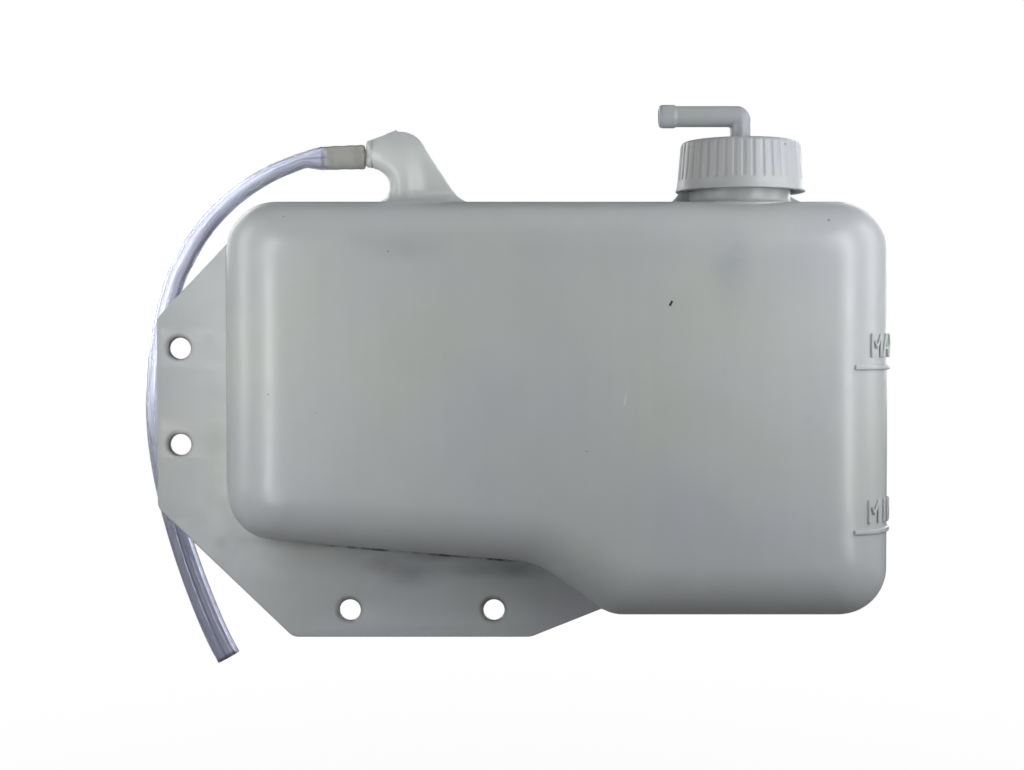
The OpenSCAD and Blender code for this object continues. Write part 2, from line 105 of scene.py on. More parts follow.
# %% [markdown]
# Every shape below ends up as a list of points and faces, so one helper turns those into an object.
# Smooth shading is wanted nearly everywhere on moulded plastic. Edges that bend more than the given
# angle stay crisp. Most shapes are walls between rings of points, so a second helper lists those
# quads. Two more give the angles of a full turn and the run along a line.

# %% Make a mesh piece
CRISP_ANGLE, TANK_CRISP, CAP_CRISP, ELBOW_CRISP = 38, 32, 50, 40


def finish_mesh(mesh, crisp=CRISP_ANGLE):
    mesh.polygons.foreach_set("use_smooth", np.ones(len(mesh.polygons), bool))
    mesh.set_sharp_from_angle(angle=math.radians(crisp))
    return mesh


def mesh_piece(name, points, faces, crisp=CRISP_ANGLE, weld=False):
    mesh = bpy.data.meshes.new(name)
    quads = [list(map(int, face)) for group in faces for face in group]
    mesh.from_pydata(np.asarray(points).tolist(), [], quads)
    if weld:
        work = bmesh.new()
        work.from_mesh(mesh)
        bmesh.ops.remove_doubles(work, verts=work.verts, dist=1e-6)
        work.to_mesh(mesh)
        work.free()
    return new_object(name, finish_mesh(mesh, crisp))


def wall_faces(rings, around, closed=False):
    """Quads between neighbouring rings. With closed, the last ring is joined to the first."""
    k = np.arange(rings if closed else rings - 1)[:, None]
    i = np.arange(around)[None, :]
    j, after = (i + 1) % around, (k + 1) % rings
    quads = [k * around + i, k * around + j, after * around + j, after * around + i]
    return np.stack(quads, -1).reshape(-1, 4)


def full_turn(steps):
    return np.linspace(0, 2 * np.pi, steps, endpoint=False)


def step_lengths(line):
    return np.linalg.norm(np.diff(line, axis=0), axis=1)


def run_along(line):
    """How far along the line each of its points is."""
    return np.concatenate([[0], np.cumsum(step_lengths(line))])


# %% [markdown]
# The hose is clear soft vinyl, 10 mm outside and 7 mm inside. It is one continuous tube, so it is
# swept along its centreline. The centreline follows the photograph, within about a millimetre of
# the solid model's route. A Catmull-Rom curve runs through the points, because a hose bends evenly
# and shows no corners.

# %% Hose route
SHOULDER_X = 77.5
SPOUT_Z = 100.0
PART_Y = -1.5
SPIGOT_L = 18.7
SPIGOT_Z = SPOUT_Z - 1.0
hose_route = [
    (SHOULDER_X - 0.7, -1.5, SPIGOT_Z + 0.2),
    (68, -1.5, SPIGOT_Z),
    (SHOULDER_X - SPIGOT_L, -1.5, SPIGOT_Z - 0.4),
    (52, -1.5, 98.0),
    (46, -1.2, 96.0),
    (38, -0.4, 92.8),
    (29, 0.8, 87.9),
    (20, 2.4, 81.4),
    (11.5, 4.2, 73.3),
    (5, 5.6, 65),
    (0, 6.4, 56.5),
    (-3.9, 6.8, 48.5),
    (-8.0, 6.8, 34),
    (-10.7, 6.8, 18),
    (-11.8, 6.8, 3),
    (-11.6, 6.8, -13),
    (-9.8, 6.8, -28),
    (-6.3, 6.8, -45),
    (-1.6, 6.8, -62),
    (3.4, 6.8, -77),
    (9.2, 6.6, -92),
    (14.1, 6.4, -103),
    (18.1, 6.2, -110.5),
]


def smooth_curve(points, cuts):
    points = np.array(points, float)
    ends = np.vstack([2 * points[0] - points[1], points, 2 * points[-1] - points[-2]])
    made = []
    for a, b, c, d in zip(ends[:-3], ends[1:-2], ends[2:-1], ends[3:]):
        for t in np.arange(cuts) / cuts:
            square, cube = 2 * a - 5 * b + 4 * c - d, 3 * b - a - 3 * c + d
            made.append(0.5 * (2 * b + (c - a) * t + square * t**2 + cube * t**3))
    return np.array(made + [points[-1]])


hose_line = smooth_curve(hose_route, 8) * MM

# %% [markdown]
# Each ring of the tube is square to the line. Outer and inner rings are joined at both ends, so the
# hose is a real wall with a bore, and light is bent at both of its surfaces. On the spigot it is
# stretched round. Past the spigot the bend has flattened it: it is narrow across the bend and wide
# along Y, and it slowly turns round again towards its free end.

# %% Hose
HOSE_WALL = 1.5 * MM
HOSE_SIDES = 40
# Run along the hose in mm, half width across the bend and half width along Y
HOSE_SECTIONS = [(0, 4.75, 4.85), (1.2, 5.1, 5.1), (3, 4.9, 5.0), (6, 5.0, 5.0), (9, 4.8, 4.9)]
HOSE_SECTIONS += [(12, 4.95, 4.9), (15, 4.75, 4.9), (18, 4.8, 4.9), (21, 4.2, 5.1), (25, 3.3, 5.5)]
HOSE_SECTIONS += [(35, 3.4, 5.7), (48, 3.6, 5.7), (80, 3.95, 5.5), (110, 4.25, 5.4), (165, 4.4, 5.3)]
HOSE_SECTIONS += [(205, 4.7, 5.2), (240, 4.9, 5.1), (280, 4.95, 5.0)]


def tube_frames(line):
    along = np.gradient(line, axis=0)
    along /= np.linalg.norm(along, axis=1)[:, None]
    up = np.cross(along, (0, 1, 0))
    up /= np.linalg.norm(up, axis=1)[:, None]
    return along, up, np.cross(up, along)


def hose_rings(line, thinner):
    _, up, side = tube_frames(line)
    run = run_along(line)
    at, across, deep = np.array(HOSE_SECTIONS).T * MM
    across, deep = np.interp(run, at, across) - thinner, np.interp(run, at, deep) - thinner
    turn = full_turn(HOSE_SIDES)[None, :, None]
    flat = across[:, None, None] * np.cos(turn) * up[:, None, :]
    wide = deep[:, None, None] * np.sin(turn) * side[:, None, :]
    return line[:, None, :] + flat + wide


def make_hose(line):
    """The tube, with two values kept at each point for its finish: how far along and how far across."""
    outer, inner = hose_rings(line, 0), hose_rings(line, HOSE_WALL)
    shell = np.concatenate([inner, outer[::-1]])
    faces = wall_faces(len(shell), HOSE_SIDES, closed=True)
    made = mesh_piece("clear_hose", shell.reshape(-1, 3), [faces])
    share = np.linspace(0, 1, len(line))
    along = np.repeat(np.concatenate([share, share[::-1]]), HOSE_SIDES)
    across = np.tile(np.cos(full_turn(HOSE_SIDES)), 2 * len(line))
    for name, values in (("along", along), ("across", across)):
        made.data.attributes.new(name, "FLOAT", "POINT").data.foreach_set("value", values)
    return made


hose = make_hose(hose_line)
print("hose faces", len(hose.data.polygons))

# %% [markdown]
# The tank's outline is six corners in X and Z, each rounded by an arc. Points in the plane are kept
# as complex numbers, because a turn is then one multiplication. Every edge is also cut into short
# lengths, so that all outlines have the same number of points and can be lofted one to the next.

# %% Rounded outline
BODY_LEFT = 22.0
BODY_W = 268.0
BODY_TOP = 80.0
BODY_H = 168.5
SHALLOW_H = 136.7
FLOOR_SLOPE = 4.8
RAMP_SLOPE = 35.3
DEEP_START = 155.0
RIGHT_X = BODY_LEFT + BODY_W
FLOOR_Z = BODY_TOP - BODY_H
STEP_Z = BODY_TOP - SHALLOW_H
ramp_tan, floor_tan = slope(RAMP_SLOPE), slope(FLOOR_SLOPE)


def flat_points(*pairs):
    return [complex(x, z) for x, z in pairs]


bend_run = (DEEP_START * ramp_tan - (STEP_Z - FLOOR_Z)) / (ramp_tan - floor_tan)
body_corners = flat_points(
    (BODY_LEFT, STEP_Z),
    (BODY_LEFT + bend_run, STEP_Z - bend_run * floor_tan),
    (BODY_LEFT + DEEP_START, FLOOR_Z),
    (RIGHT_X, FLOOR_Z),
    (RIGHT_X, BODY_TOP),
    (BODY_LEFT, BODY_TOP),
)


def rounded_outline(corners, inset, share, radii, arc_steps, cuts):
    """Points and outward directions of an anticlockwise outline whose edges moved in by inset * share."""
    corners = np.array(corners)
    way = np.roll(corners, -1) - corners
    way = way / abs(way)
    base = corners + 1j * way * inset * np.array(share)
    arcs = []
    for i, radius in enumerate(radii):
        before, after = way[i - 1], way[i]
        across = (before.conjugate() * after).imag
        reach = ((base[i] - base[i - 1]).conjugate() * after).imag / across
        bend = cmath.phase(after / before)
        side = math.copysign(1, bend)
        start = base[i - 1] + before * (reach - radius * math.tan(abs(bend) / 2))
        middle = start + 1j * before * radius * side
        outward = -1j * before * np.exp(1j * bend * np.linspace(0, 1, arc_steps[i] + 1))
        arcs.append((middle + outward * radius * side, outward))
    points, outwards = [], []
    for i, (arc, outward) in enumerate(arcs):
        to = arcs[(i + 1) % len(arcs)][0][0]
        between = arc[-1] + (to - arc[-1]) * np.arange(1, cuts[i]) / cuts[i]
        points += [arc, between]
        outwards += [outward, np.full(len(between), -1j * way[i])]
    return np.concatenate(points), np.concatenate(outwards)


# %% [markdown]
# A blown body is widest at its parting plane, and its walls lean in on both sides of it so that the
# two mould halves come off. The front edge is rounded over 24 mm and the back edge over 15 mm.
# Each ring of the loft is the same outline, moved inwards by the lean and by the rounding.

# %% Body rings
FRONT_DEPTH, BACK_DEPTH = 42.5, 35.5
FRONT_EDGE_R, BACK_EDGE_R = 24.0, 15.0
WALL_T = 2.0
DRAFT = slope(2.5)
CORNER_R = 21.0
OUTER_RADII = np.array([CORNER_R, 28, 18, CORNER_R, CORNER_R, CORNER_R])
FACE_RADII = np.array([8, 50, 8, 8, 8, 8])
EDGE_SHARE = np.array([0.96, 0.96, 0.96, 1.04, 0.82, 1.04])
ARC_STEPS = [16, 8, 8, 16, 16, 16]
EDGE_CUTS = [26, 8, 22, 26, 48, 22]
FLANGE_T = 3.0
BEAD_PROUD, BEAD_HALF = 0.5, 0.6
ROOT_FILLET, ROOT_SUNK = 1.7, 0.06
# The flange follows the wall up to this height on the left and out to this X along the floor
FLANGE_REACH_Z, FLANGE_REACH_X = 64, 192


def body_outline(inset, t):
    share = 1 + (EDGE_SHARE - 1) * t
    radii = OUTER_RADII + (FACE_RADII - OUTER_RADII) * t
    return rounded_outline(body_corners, inset, share, radii, ARC_STEPS, EDGE_CUTS)


def root_swell(u, outline):
    """How far the wall stands out near the parting plane: a bead, or a fillet beside the flange."""
    bead = BEAD_PROUD * math.sqrt(max(0, 1 - (u / BEAD_HALF) ** 2))
    v = min(max(u - FLANGE_T / 2 + ROOT_SUNK, 0), ROOT_FILLET)
    fillet = ROOT_FILLET - math.sqrt(ROOT_FILLET**2 - (ROOT_FILLET - v) ** 2)
    low = np.clip((FLANGE_REACH_Z - outline.imag) / 6, 0, 1)
    by_flange = low * np.clip((FLANGE_REACH_X - outline.real) / 8, 0, 1)
    return bead * (1 - by_flange) + fillet * by_flange


NEAR_LEVELS = [0, 0.2, 0.4, 0.52, 0.6, 0.8, 1.1, 1.44, 1.56, 1.75, 2.0, 2.4, 2.8, 3.14, 3.6]


def body_rings(depth, edge_r, steps, grow=0.0):
    """Rings of one half, from the parting plane to the face, as (distance from the plane, outline)."""
    rings = []
    reach = depth - edge_r
    for u in (NEAR_LEVELS if grow == 0 else [0]) + list(np.linspace(5, reach, 5)):
        points, outwards = body_outline(u * DRAFT - grow, 0)
        rings.append((u, points + outwards * root_swell(u, points) * (grow == 0)))
    for t in np.arange(1, steps + 1) / steps:
        inset = reach * DRAFT + edge_r * (1 - math.cos(math.pi / 2 * t)) - grow
        rings.append((reach + (edge_r + grow) * math.sin(math.pi / 2 * t), body_outline(inset, t)[0]))
    return rings


# %% [markdown]
# A flat face is not left as one huge polygon. Rings shrink towards a point in its middle, so the
# quads stay regular and the face can be crowned a little, as a blown wall is.

# %% Body solid
FACE_MIDDLE = complex(165, -4)
FACE_SCALES = (0.985, 0.95, 0.88, 0.76, 0.6, 0.42, 0.22, 0.0)
CROWN_POWER = 8


def with_face(rings, crown):
    depth, outline = rings[-1]
    rim = [(u - crown * (u / depth) ** CROWN_POWER, ring) for u, ring in rings]
    face = [(depth - crown * s**2, FACE_MIDDLE + (outline - FACE_MIDDLE) * s) for s in FACE_SCALES]
    return rim + face


def body_solid(name, back, front, back_crown=0.0, front_crown=0.0):
    back, front = with_face(back, back_crown), with_face(front, front_crown)
    rings = back[:0:-1] + [(-u, ring) for u, ring in front]
    points = [(p.real, PART_Y + u, p.imag) for u, ring in rings for p in ring]
    faces = wall_faces(len(rings), len(rings[0][1]))
    return mesh_piece(name, np.array(points) * MM, [faces], weld=True)


FRONT_CROWN, BACK_CROWN = 0.6, 0.4
tank = body_solid(
    "tank_shell",
    body_rings(BACK_DEPTH, BACK_EDGE_R, 12),
    body_rings(FRONT_DEPTH, FRONT_EDGE_R, 18),
    BACK_CROWN,
    FRONT_CROWN,
)
print("tank shell faces", len(tank.data.polygons))

# %% [markdown]
# The inside of the shell is the same form, 2 mm smaller. It will be cut out of the outside.

# %% Cavity
cavity = body_solid(
    "cavity",
    body_rings(BACK_DEPTH, BACK_EDGE_R, 8, -WALL_T),
    body_rings(FRONT_DEPTH, FRONT_EDGE_R, 8, -WALL_T),
)

# %% [markdown]
# Pieces are joined and cut by Blender's Boolean modifier with its Manifold solver. It is quick and
# always gives a closed mesh, but it wants closed meshes to start from.

# %% Join and cut
def combine(target, other, operation):
    modifier = target.modifiers.new("join", "BOOLEAN")
    modifier.solver = "MANIFOLD"
    modifier.operation = operation
    modifier.object = other
    graph = bpy.context.evaluated_depsgraph_get()
    mesh = bpy.data.meshes.new_from_object(target.evaluated_get(graph))
    target.modifiers.clear()
    target.data = mesh
    bpy.data.objects.remove(other)


# %% [markdown]
# The flange is pinched flat between the mould halves, so it is an even 3 mm plate with small rounded
# edges. A filled 2-D curve makes such a plate well: its bevel rounds the outline and the holes alike.

# %% Flange
SIDE_PITCH, BOTTOM_PITCH, BOLT_HOLE_D = 40.0, 60.0, 8.8
BOTTOM_MID_X, BOTTOM_DROP = 100.3, 89.1
SIDE_MARGIN, BOTTOM_MARGIN, END_MARGIN = 9.7, 11.3, 15.3
SIDE_TOP, SIDE_LOW = 32.4, 46.4
UPPER_SLOPE, LOWER_SLOPE, SWEEP_SLOPE = 46.6, 43.9, 21.7
FLANGE_CORNER_R = 6.0
FLANGE_EDGE_R = 0.7
SWEEP_RUN, TUCK = 44.0, 14.0
HOLE_SIDES = 40
flange_floor_z = -BOTTOM_DROP - BOTTOM_MARGIN
flange_end_x = BOTTOM_MID_X + BOTTOM_PITCH / 2 + END_MARGIN
flange_corners = flat_points(
    (-SIDE_MARGIN, -SIDE_LOW),
    (-SIDE_MARGIN + (-SIDE_LOW - flange_floor_z) / slope(LOWER_SLOPE), flange_floor_z),
    (flange_end_x, flange_floor_z),
    (flange_end_x + SWEEP_RUN, flange_floor_z + SWEEP_RUN * slope(SWEEP_SLOPE)),
    (BODY_LEFT + 4 * TUCK, STEP_Z + 2 * TUCK),
    (BODY_LEFT + 2 * TUCK, SIDE_TOP + TUCK),
    (BODY_LEFT + TUCK / 2, SIDE_TOP + (BODY_LEFT + TUCK / 2 + SIDE_MARGIN) * slope(UPPER_SLOPE)),
    (-SIDE_MARGIN, SIDE_TOP),
)
flange_radii = [FLANGE_CORNER_R, FLANGE_CORNER_R, FLANGE_CORNER_R + 2, 1, 1, 1, 1, FLANGE_CORNER_R]
bolt_places = [(0, side * SIDE_PITCH / 2) for side in (-1, 1)]
bolt_places += [(BOTTOM_MID_X + side * BOTTOM_PITCH / 2, -BOTTOM_DROP) for side in (-1, 1)]


# %% [markdown]
# The curve is turned into a mesh, laid into the parting plane and joined to the body. Its four holes
# go right through, and the bolts' places are kept for the dirt around them.

# %% Flange plate
def plate(name, outline, holes, thickness, edge_r):
    """Flat plate in the parting plane with rounded edges. The outlines are complex points in X and Z."""
    curve = bpy.data.curves.new(name, "CURVE")
    curve.dimensions = "2D"
    curve.fill_mode = "BOTH"
    curve.extrude = (thickness / 2 - edge_r) * MM
    curve.bevel_depth = edge_r * MM
    curve.bevel_resolution = 3
    curve.offset = -edge_r * MM
    for ring in [outline] + holes:
        spline = curve.splines.new("POLY")
        spline.points.add(len(ring) - 1)
        points = np.array([(p.real, p.imag, 0, 1 / MM) for p in ring]) * MM
        spline.points.foreach_set("co", points.ravel())
        spline.use_cyclic_u = True
    holder = new_object(name, curve)
    mesh = bpy.data.meshes.new_from_object(holder)
    bpy.data.objects.remove(holder)
    points = np.zeros(len(mesh.vertices) * 3)
    mesh.vertices.foreach_get("co", points)
    x, z, y = points.reshape(-1, 3).T
    faces = [tuple(p.vertices)[::-1] for p in mesh.polygons]
    return mesh_piece(name, np.stack([x, PART_Y * MM + y, z], 1), [faces], weld=True)


def circle(x, z, radius):
    return complex(x, z) + radius * np.exp(2j * np.pi * np.arange(HOLE_SIDES) / HOLE_SIDES)


flange_outline = rounded_outline(flange_corners, 0, [1] * 8, flange_radii, [8] * 8, [4] * 8)[0]
flange_holes = [circle(x, z, BOLT_HOLE_D / 2)[::-1] for x, z in bolt_places]
flange = plate("flange", flange_outline, flange_holes, FLANGE_T, FLANGE_EDGE_R)
combine(tank, flange, "UNION")
print("tank with flange", len(tank.data.polygons))


# %% [markdown]
# The spout, the neck's foot and the elbow melt into their neighbours with soft fillets. Such forms are
# easiest to describe as a distance field, where a smooth minimum of two distances is a fillet.
# The skin of the field is found with surface nets, which start from one point in each grid cell
# that the surface crosses.

# %% Smooth joins and grid cells
def smooth_min(a, b, width):
    h = np.clip(width - np.abs(a - b), 0, None) / np.maximum(width, 1e-9)
    return np.minimum(a, b) - h * h * width / 4


def smooth_max(a, b, width):
    return -smooth_min(-a, -b, width)


def cell_points(value, axes):
    """Mean of the edge crossings in each grid cell, and how many there are."""
    corners = [np.array(c) for c in np.ndindex(2, 2, 2)]
    shape = np.array(value.shape) - 1
    total, count = np.zeros((*shape, 3)), np.zeros(shape)
    places = np.stack(np.meshgrid(*axes, indexing="ij"), -1)

    def part(grid, c):
        return grid[c[0] : c[0] + shape[0], c[1] : c[1] + shape[1], c[2] : c[2] + shape[2]]

    for a in corners:
        for axis in range(3):
            if a[axis]:
                continue
            b = a.copy()
            b[axis] = 1
            va, vb = part(value, a), part(value, b)
            crossed = (va < 0) != (vb < 0)
            t = np.where(crossed, va / np.where(crossed, va - vb, 1), 0)[..., None]
            at = part(places, a) * (1 - t) + part(places, b) * t
            total += np.where(crossed[..., None], at, 0)
            count += crossed
    return total, count


# %% [markdown]
# Where the field changes sign along a grid edge, the four cells around that edge are joined by a
# quad. Which way the sign changes says which way the quad has to face.

# %% Quads of the skin
def net_quads(value, number):
    """One quad of neighbouring cells for each grid edge whose ends lie on two sides of the surface."""
    inside = value < 0
    quads = []
    for axis in range(3):
        u, v = (axis + 1) % 3, (axis + 2) % 3
        low, high = [slice(None)] * 3, [slice(None)] * 3
        low[axis], high[axis] = slice(None, -1), slice(1, None)
        here, there = inside[tuple(low)], inside[tuple(high)]
        places = np.argwhere(here != there)
        places = places[(places[:, u] > 0) & (places[:, v] > 0)]
        ring = []
        for du, dv in ((1, 1), (0, 1), (0, 0), (1, 0)):
            cell = places.copy()
            cell[:, u] -= du
            cell[:, v] -= dv
            ring.append(number[tuple(cell.T)])
        ring = np.stack(ring, 1)
        leaving = here[tuple(places.T)]
        quads.append(np.where(leaving[:, None], ring, ring[:, ::-1]))
    return np.concatenate(quads)


# %% [markdown]
# The cells' points lie near the surface, but not on it. A few steps down the field's slope pull them
# onto it, which makes the skin smooth even with coarse cells.

# %% Points of the skin
def skin(field, low, high, step, pulls=4):
    """Points and faces of the surface where field(x, y, z) is zero, in the field's own millimetres."""
    axes = [np.arange(a, b + step, step) for a, b in zip(low, high)]
    value = field(*np.meshgrid(*axes, indexing="ij"))
    total, count = cell_points(value, axes)
    number = np.full(count.shape, -1)
    number[count > 0] = np.arange((count > 0).sum())
    points = total[count > 0] / count[count > 0][:, None]
    small = 0.02
    for _ in range(pulls):
        here = field(*points.T)
        steep = [field(*(points + small * np.eye(3)[i]).T) - here for i in range(3)]
        steep = np.stack(steep, 1) / small
        move = -here[:, None] * steep / np.maximum((steep**2).sum(1), 0.2)[:, None]
        points = points + np.clip(move, -step / 2, step / 2)
    return points, net_quads(value, number)


def place_skin(name, points, faces, crisp=CRISP_ANGLE):
    return mesh_piece(name, (points + np.array((0, PART_Y, 0))) * MM, [faces], crisp)


# %% [markdown]
# The spout is a tube that rises from the top and turns over towards the flange. The mould closes on
# both sides of it, so the corner behind the bend is filled by a web. Its crown is an arc, and from
# there it runs straight down to a small foot. The top of the tank takes part in the field as a plane
# sunk by a hair, so the fillets end just below the real surface and leave no step. The tube is
# slimmer at its open end and swells by a millimetre behind it.

# %% Spout
SPOUT_R = 5.1
SPOUT_SWELL, SWELL_RUN = 1.0, 7.5
SPOUT_BEND_R = 12.5
BEND_X = SHOULDER_X + 3
BEND_Z = SPOUT_Z - SPOUT_BEND_R
STEM_X = BEND_X + SPOUT_BEND_R
WEB_T = 3.0
CROWN_X, CROWN_Z, CROWN_R = STEM_X - 1.6, SPOUT_Z - 1.8, 11.4
HUMP_X, HUMP_Z, HUMP_R = 88.6, 105.5, 3.9
NIB_X, NIB_Z, NIB_R = 89.9, 109.3, 0.75
EDGE_X, EDGE_Z, EDGE_TOP_Z = 100.35, 104.88, 104.8
WEB_FOOT_X = STEM_X + 24
PAD_H = 4.4
SUNK = 0.07
FOOT_DEPTH = 3.4
# The patch of the top that the field covers: middle, half width and half depth
PATCH_X, PATCH_W, PATCH_D = 102, 25.5, 10.5
SPOUT_BOX = ((74, -12, 74), (130, 12, 112))
SPOUT_CELL = 0.5


def top_plane(y):
    return BODY_TOP - SUNK - np.abs(y) * DRAFT


def bent_tube(x, y, z, radius):
    """Distance to the tube that comes from the left, turns down in a quarter bend and goes on down."""
    dx, dz = x - BEND_X, z - BEND_Z
    level = np.hypot(z - SPOUT_Z, y)
    stem = np.hypot(x - STEM_X, y)
    bend = np.hypot(np.hypot(dx, dz) - SPOUT_BEND_R, y)
    straight = np.where(dx < 0, np.where(dz < 0, np.minimum(level, stem), level), stem)
    swell = SPOUT_SWELL * eased(np.clip((x - SHOULDER_X) / SWELL_RUN, 0, 1))
    return np.where((dx > 0) & (dz > 0), bend, straight) - radius - swell


def web_area(x, z):
    """Distance to the web's outline: crown, hump, nib, ramp on the left and long straight edge."""
    crown = np.hypot(x - CROWN_X, z - CROWN_Z) - CROWN_R
    hump = np.hypot(x - HUMP_X, z - HUMP_Z) - HUMP_R
    nib = np.hypot(x - NIB_X, z - NIB_Z) - NIB_R
    edge = (x - EDGE_X) * 0.837 + (z - EDGE_Z) * 0.547
    below = np.maximum(np.maximum(edge, z - EDGE_TOP_Z), STEM_X - x)
    ramp = np.maximum((z - 103.5) * 0.87 - (x - SHOULDER_X) * 0.49, np.maximum(x - 90, 98 - z))
    area = smooth_min(np.minimum(crown, below), hump, 0.9)
    area = np.minimum(smooth_min(area, ramp, 0.3), nib)
    inner = np.where(z > BEND_Z, SPOUT_BEND_R - np.hypot(x - BEND_X, z - BEND_Z), STEM_X - x)
    return np.maximum(area, inner)


# %% [markdown]
# Tube and web are joined smoothly and cut off flat at the shoulder. A tapered pad lies under them,
# and the last smooth minimum is the fillet to the top, wider inside the bend and at the web's foot.

# %% Spout with pad and fillets
def tapered_bar(x, y, start, end, start_r, end_r):
    t = np.clip((x - start) / (end - start), 0, 1)
    return np.hypot(x - (start + (end - start) * t), y) - (start_r + (end_r - start_r) * t)


def spout_field(x, y, z):
    web = smooth_max(web_area(x, z), np.abs(y) - WEB_T / 2, 0.9)
    body = smooth_min(bent_tube(x, y, z, SPOUT_R), web, 4.6)
    body = smooth_max(body, SHOULDER_X - x, 0.9)
    bar = tapered_bar(x, y, STEM_X, WEB_FOOT_X - 6.2, SPOUT_R + 0.55, 2.9)
    pad = smooth_max(bar - (BODY_TOP + PAD_H - z) * 0.12, z - BODY_TOP - PAD_H, 0.9)
    spout = smooth_min(body, pad, 1.3)
    fillet = 2.2 + 5.2 * np.clip((STEM_X - x) / 5, 0, 1) + 3.5 * np.clip((x - 110) / 5, 0, 1)
    plane = z - top_plane(y)
    return smooth_max(smooth_min(spout, plane, fillet), BODY_TOP - FOOT_DEPTH - z, 0.3)


def spout_patch(x, y, z):
    """The field, kept to an oval patch of the top so that its plane ends below the surface."""
    patch = (np.hypot((x - PATCH_X) / PATCH_W, y / PATCH_D) - 1) * 10
    return np.maximum(spout_field(x, y, z), patch)


spout = place_skin("spout", *skin(spout_patch, *SPOUT_BOX, SPOUT_CELL))
print("spout faces", len(spout.data.polygons))

# %% [markdown]
# The neck stands on the top with a tight fillet. Two thin webs lie in the parting plane beside it,
# a gusset on the left and a small fillet on the right, where the mould halves pinch.

# %% Foot of the neck
NECK_X = BODY_LEFT + 210.4
NECK_R = 20.5
NECK_BORE_R = 17.5
MOUTH_Z = BODY_TOP + 19.2
GUSSET_H, GUSSET_W = 5.4, 7.6
RIGHT_WEB_W = 5.6
NECK_FOOT_TOP = 88.0
NECK_PATCH_R = 30.5
NECK_BOX = ((200, -30, 74), (265, 30, 90))
NECK_CELL = 0.6


def neck_field(x, y, z):
    neck = np.hypot(x - NECK_X, y) - NECK_R
    up = z - BODY_TOP
    left_run = NECK_X - NECK_R - x
    slope_edge = (left_run - GUSSET_W) * 0.8 + up * 0.6 - 0.4
    gusset = np.maximum(np.maximum(slope_edge, up - GUSSET_H), -2 - left_run)
    right_run = x - NECK_X - NECK_R
    right = np.maximum(right_run + 2.0 * up - RIGHT_WEB_W, -2 - right_run)
    webs = smooth_max(np.minimum(gusset, right), np.abs(y) - WEB_T / 2, 0.8)
    stand = smooth_min(neck, webs, 1.2)
    foot = smooth_min(stand, z - top_plane(y), 2.0)
    return smooth_max(np.maximum(foot, BODY_TOP - FOOT_DEPTH - z), z - NECK_FOOT_TOP, 0.2)


def neck_patch(x, y, z):
    patch = (np.hypot(x - NECK_X, y * 1.12) - NECK_PATCH_R) * 0.8
    return np.maximum(neck_field(x, y, z), patch)


neck_foot = place_skin("neck_foot", *skin(neck_patch, *NECK_BOX, NECK_CELL))
print("neck foot faces", len(neck_foot.data.polygons))

# %% [markdown]
# Round parts are turned: a profile of radius and height is spun about the neck's axis. Its rings may
# be grooved, as the cap's are. The neck's upper part carries a coarse thread of one and three quarter
# turns, whose ends run out into the wall.

# %% Turned parts and thread
TURNED_SIDES = 96


def spun(profile, grooves):
    """Points of rows (radius, height, how deep the grooves are) spun about the neck's axis."""
    turn = full_turn(len(grooves))
    radius = profile[:, :1] - profile[:, 2:] * grooves
    x, y = NECK_X + radius * np.cos(turn), PART_Y + radius * np.sin(turn)
    z = np.repeat(profile[:, 1:2], len(grooves), 1)
    return np.stack([x, y, z], -1).reshape(-1, 3) * MM


def turned(name, profile):
    """A round part from a profile of (radius, height) points, listed from the bottom up."""
    profile = np.array([(radius, height, 0) for radius, height in profile], float)
    points = spun(profile, np.zeros(TURNED_SIDES))
    return mesh_piece(name, points, [wall_faces(len(profile), TURNED_SIDES)], weld=True)


THREAD_PITCH, THREAD_H = 4.0, 1.5
THREAD_STEPS = 72
CAP_FOOT_Z = 84.6
THREAD_LOW_Z = CAP_FOOT_Z + 3.4


def thread_ridge(name, root_r, crest_r, root_w, crest_w, turns, low_z, start_turn=0.0):
    steps = int(turns * THREAD_STEPS)
    t = np.linspace(0, 1, steps + 1)
    grown = np.clip(np.minimum(t, 1 - t) * turns * 6, 0.02, 1)
    crest = root_r + (crest_r - root_r) * grown
    angle = 2 * np.pi * (start_turn + turns * t)
    middle_z = low_z + THREAD_PITCH * turns * t
    root = np.full_like(t, root_r)
    corners = [(root, -root_w / 2), (crest, -crest_w / 2), (crest, crest_w / 2), (root, root_w / 2)]
    rings = [
        np.stack([NECK_X + r * np.cos(angle), PART_Y + r * np.sin(angle), middle_z + w], -1)
        for r, w in corners
    ]
    rings = np.stack(rings, 1)
    around = len(corners)
    last = steps * around
    ends = [np.array([[0, 3, 2, 1]]), np.array([[last, last + 1, last + 2, last + 3]])]
    faces = [wall_faces(steps + 1, around)[:, ::-1]] + [end[:, ::-1] for end in ends]
    if crest_r < root_r:
        faces = [group[:, ::-1] for group in faces]
    return mesh_piece(name, rings.reshape(-1, 3) * MM, faces)


NECK_TOP_FOOT = 86
side_r = NECK_R - 0.04
neck_profile = [(0, NECK_TOP_FOOT), (side_r, NECK_TOP_FOOT), (side_r, MOUTH_Z - 0.6)]
neck_top = turned("neck_top", neck_profile + [(NECK_R - 0.6, MOUTH_Z), (0, MOUTH_Z)])
thread_sizes = (NECK_R - 0.4, NECK_R + THREAD_H, 0.55 * THREAD_PITCH, 0.22 * THREAD_PITCH, 1.75)
neck_thread = thread_ridge("neck_thread", *thread_sizes, THREAD_LOW_Z)

# %% [markdown]
# Two raised level marks wrap the front right edge, and a small word stands above each. They follow
# the wall, so each is laid out flat first and then bent onto the shell: one direction runs along the
# wall from the front face round to the side, one goes up and one stands out from the surface.

# %% Wall of the front right edge
MARK_HEIGHTS = (92.8 - BODY_TOP, -52.0)
MARK_START_X, MARK_LEAD = 272.0, 12
EDGE_PART_X, EDGE_LEAST_DEPTH = 240, 5


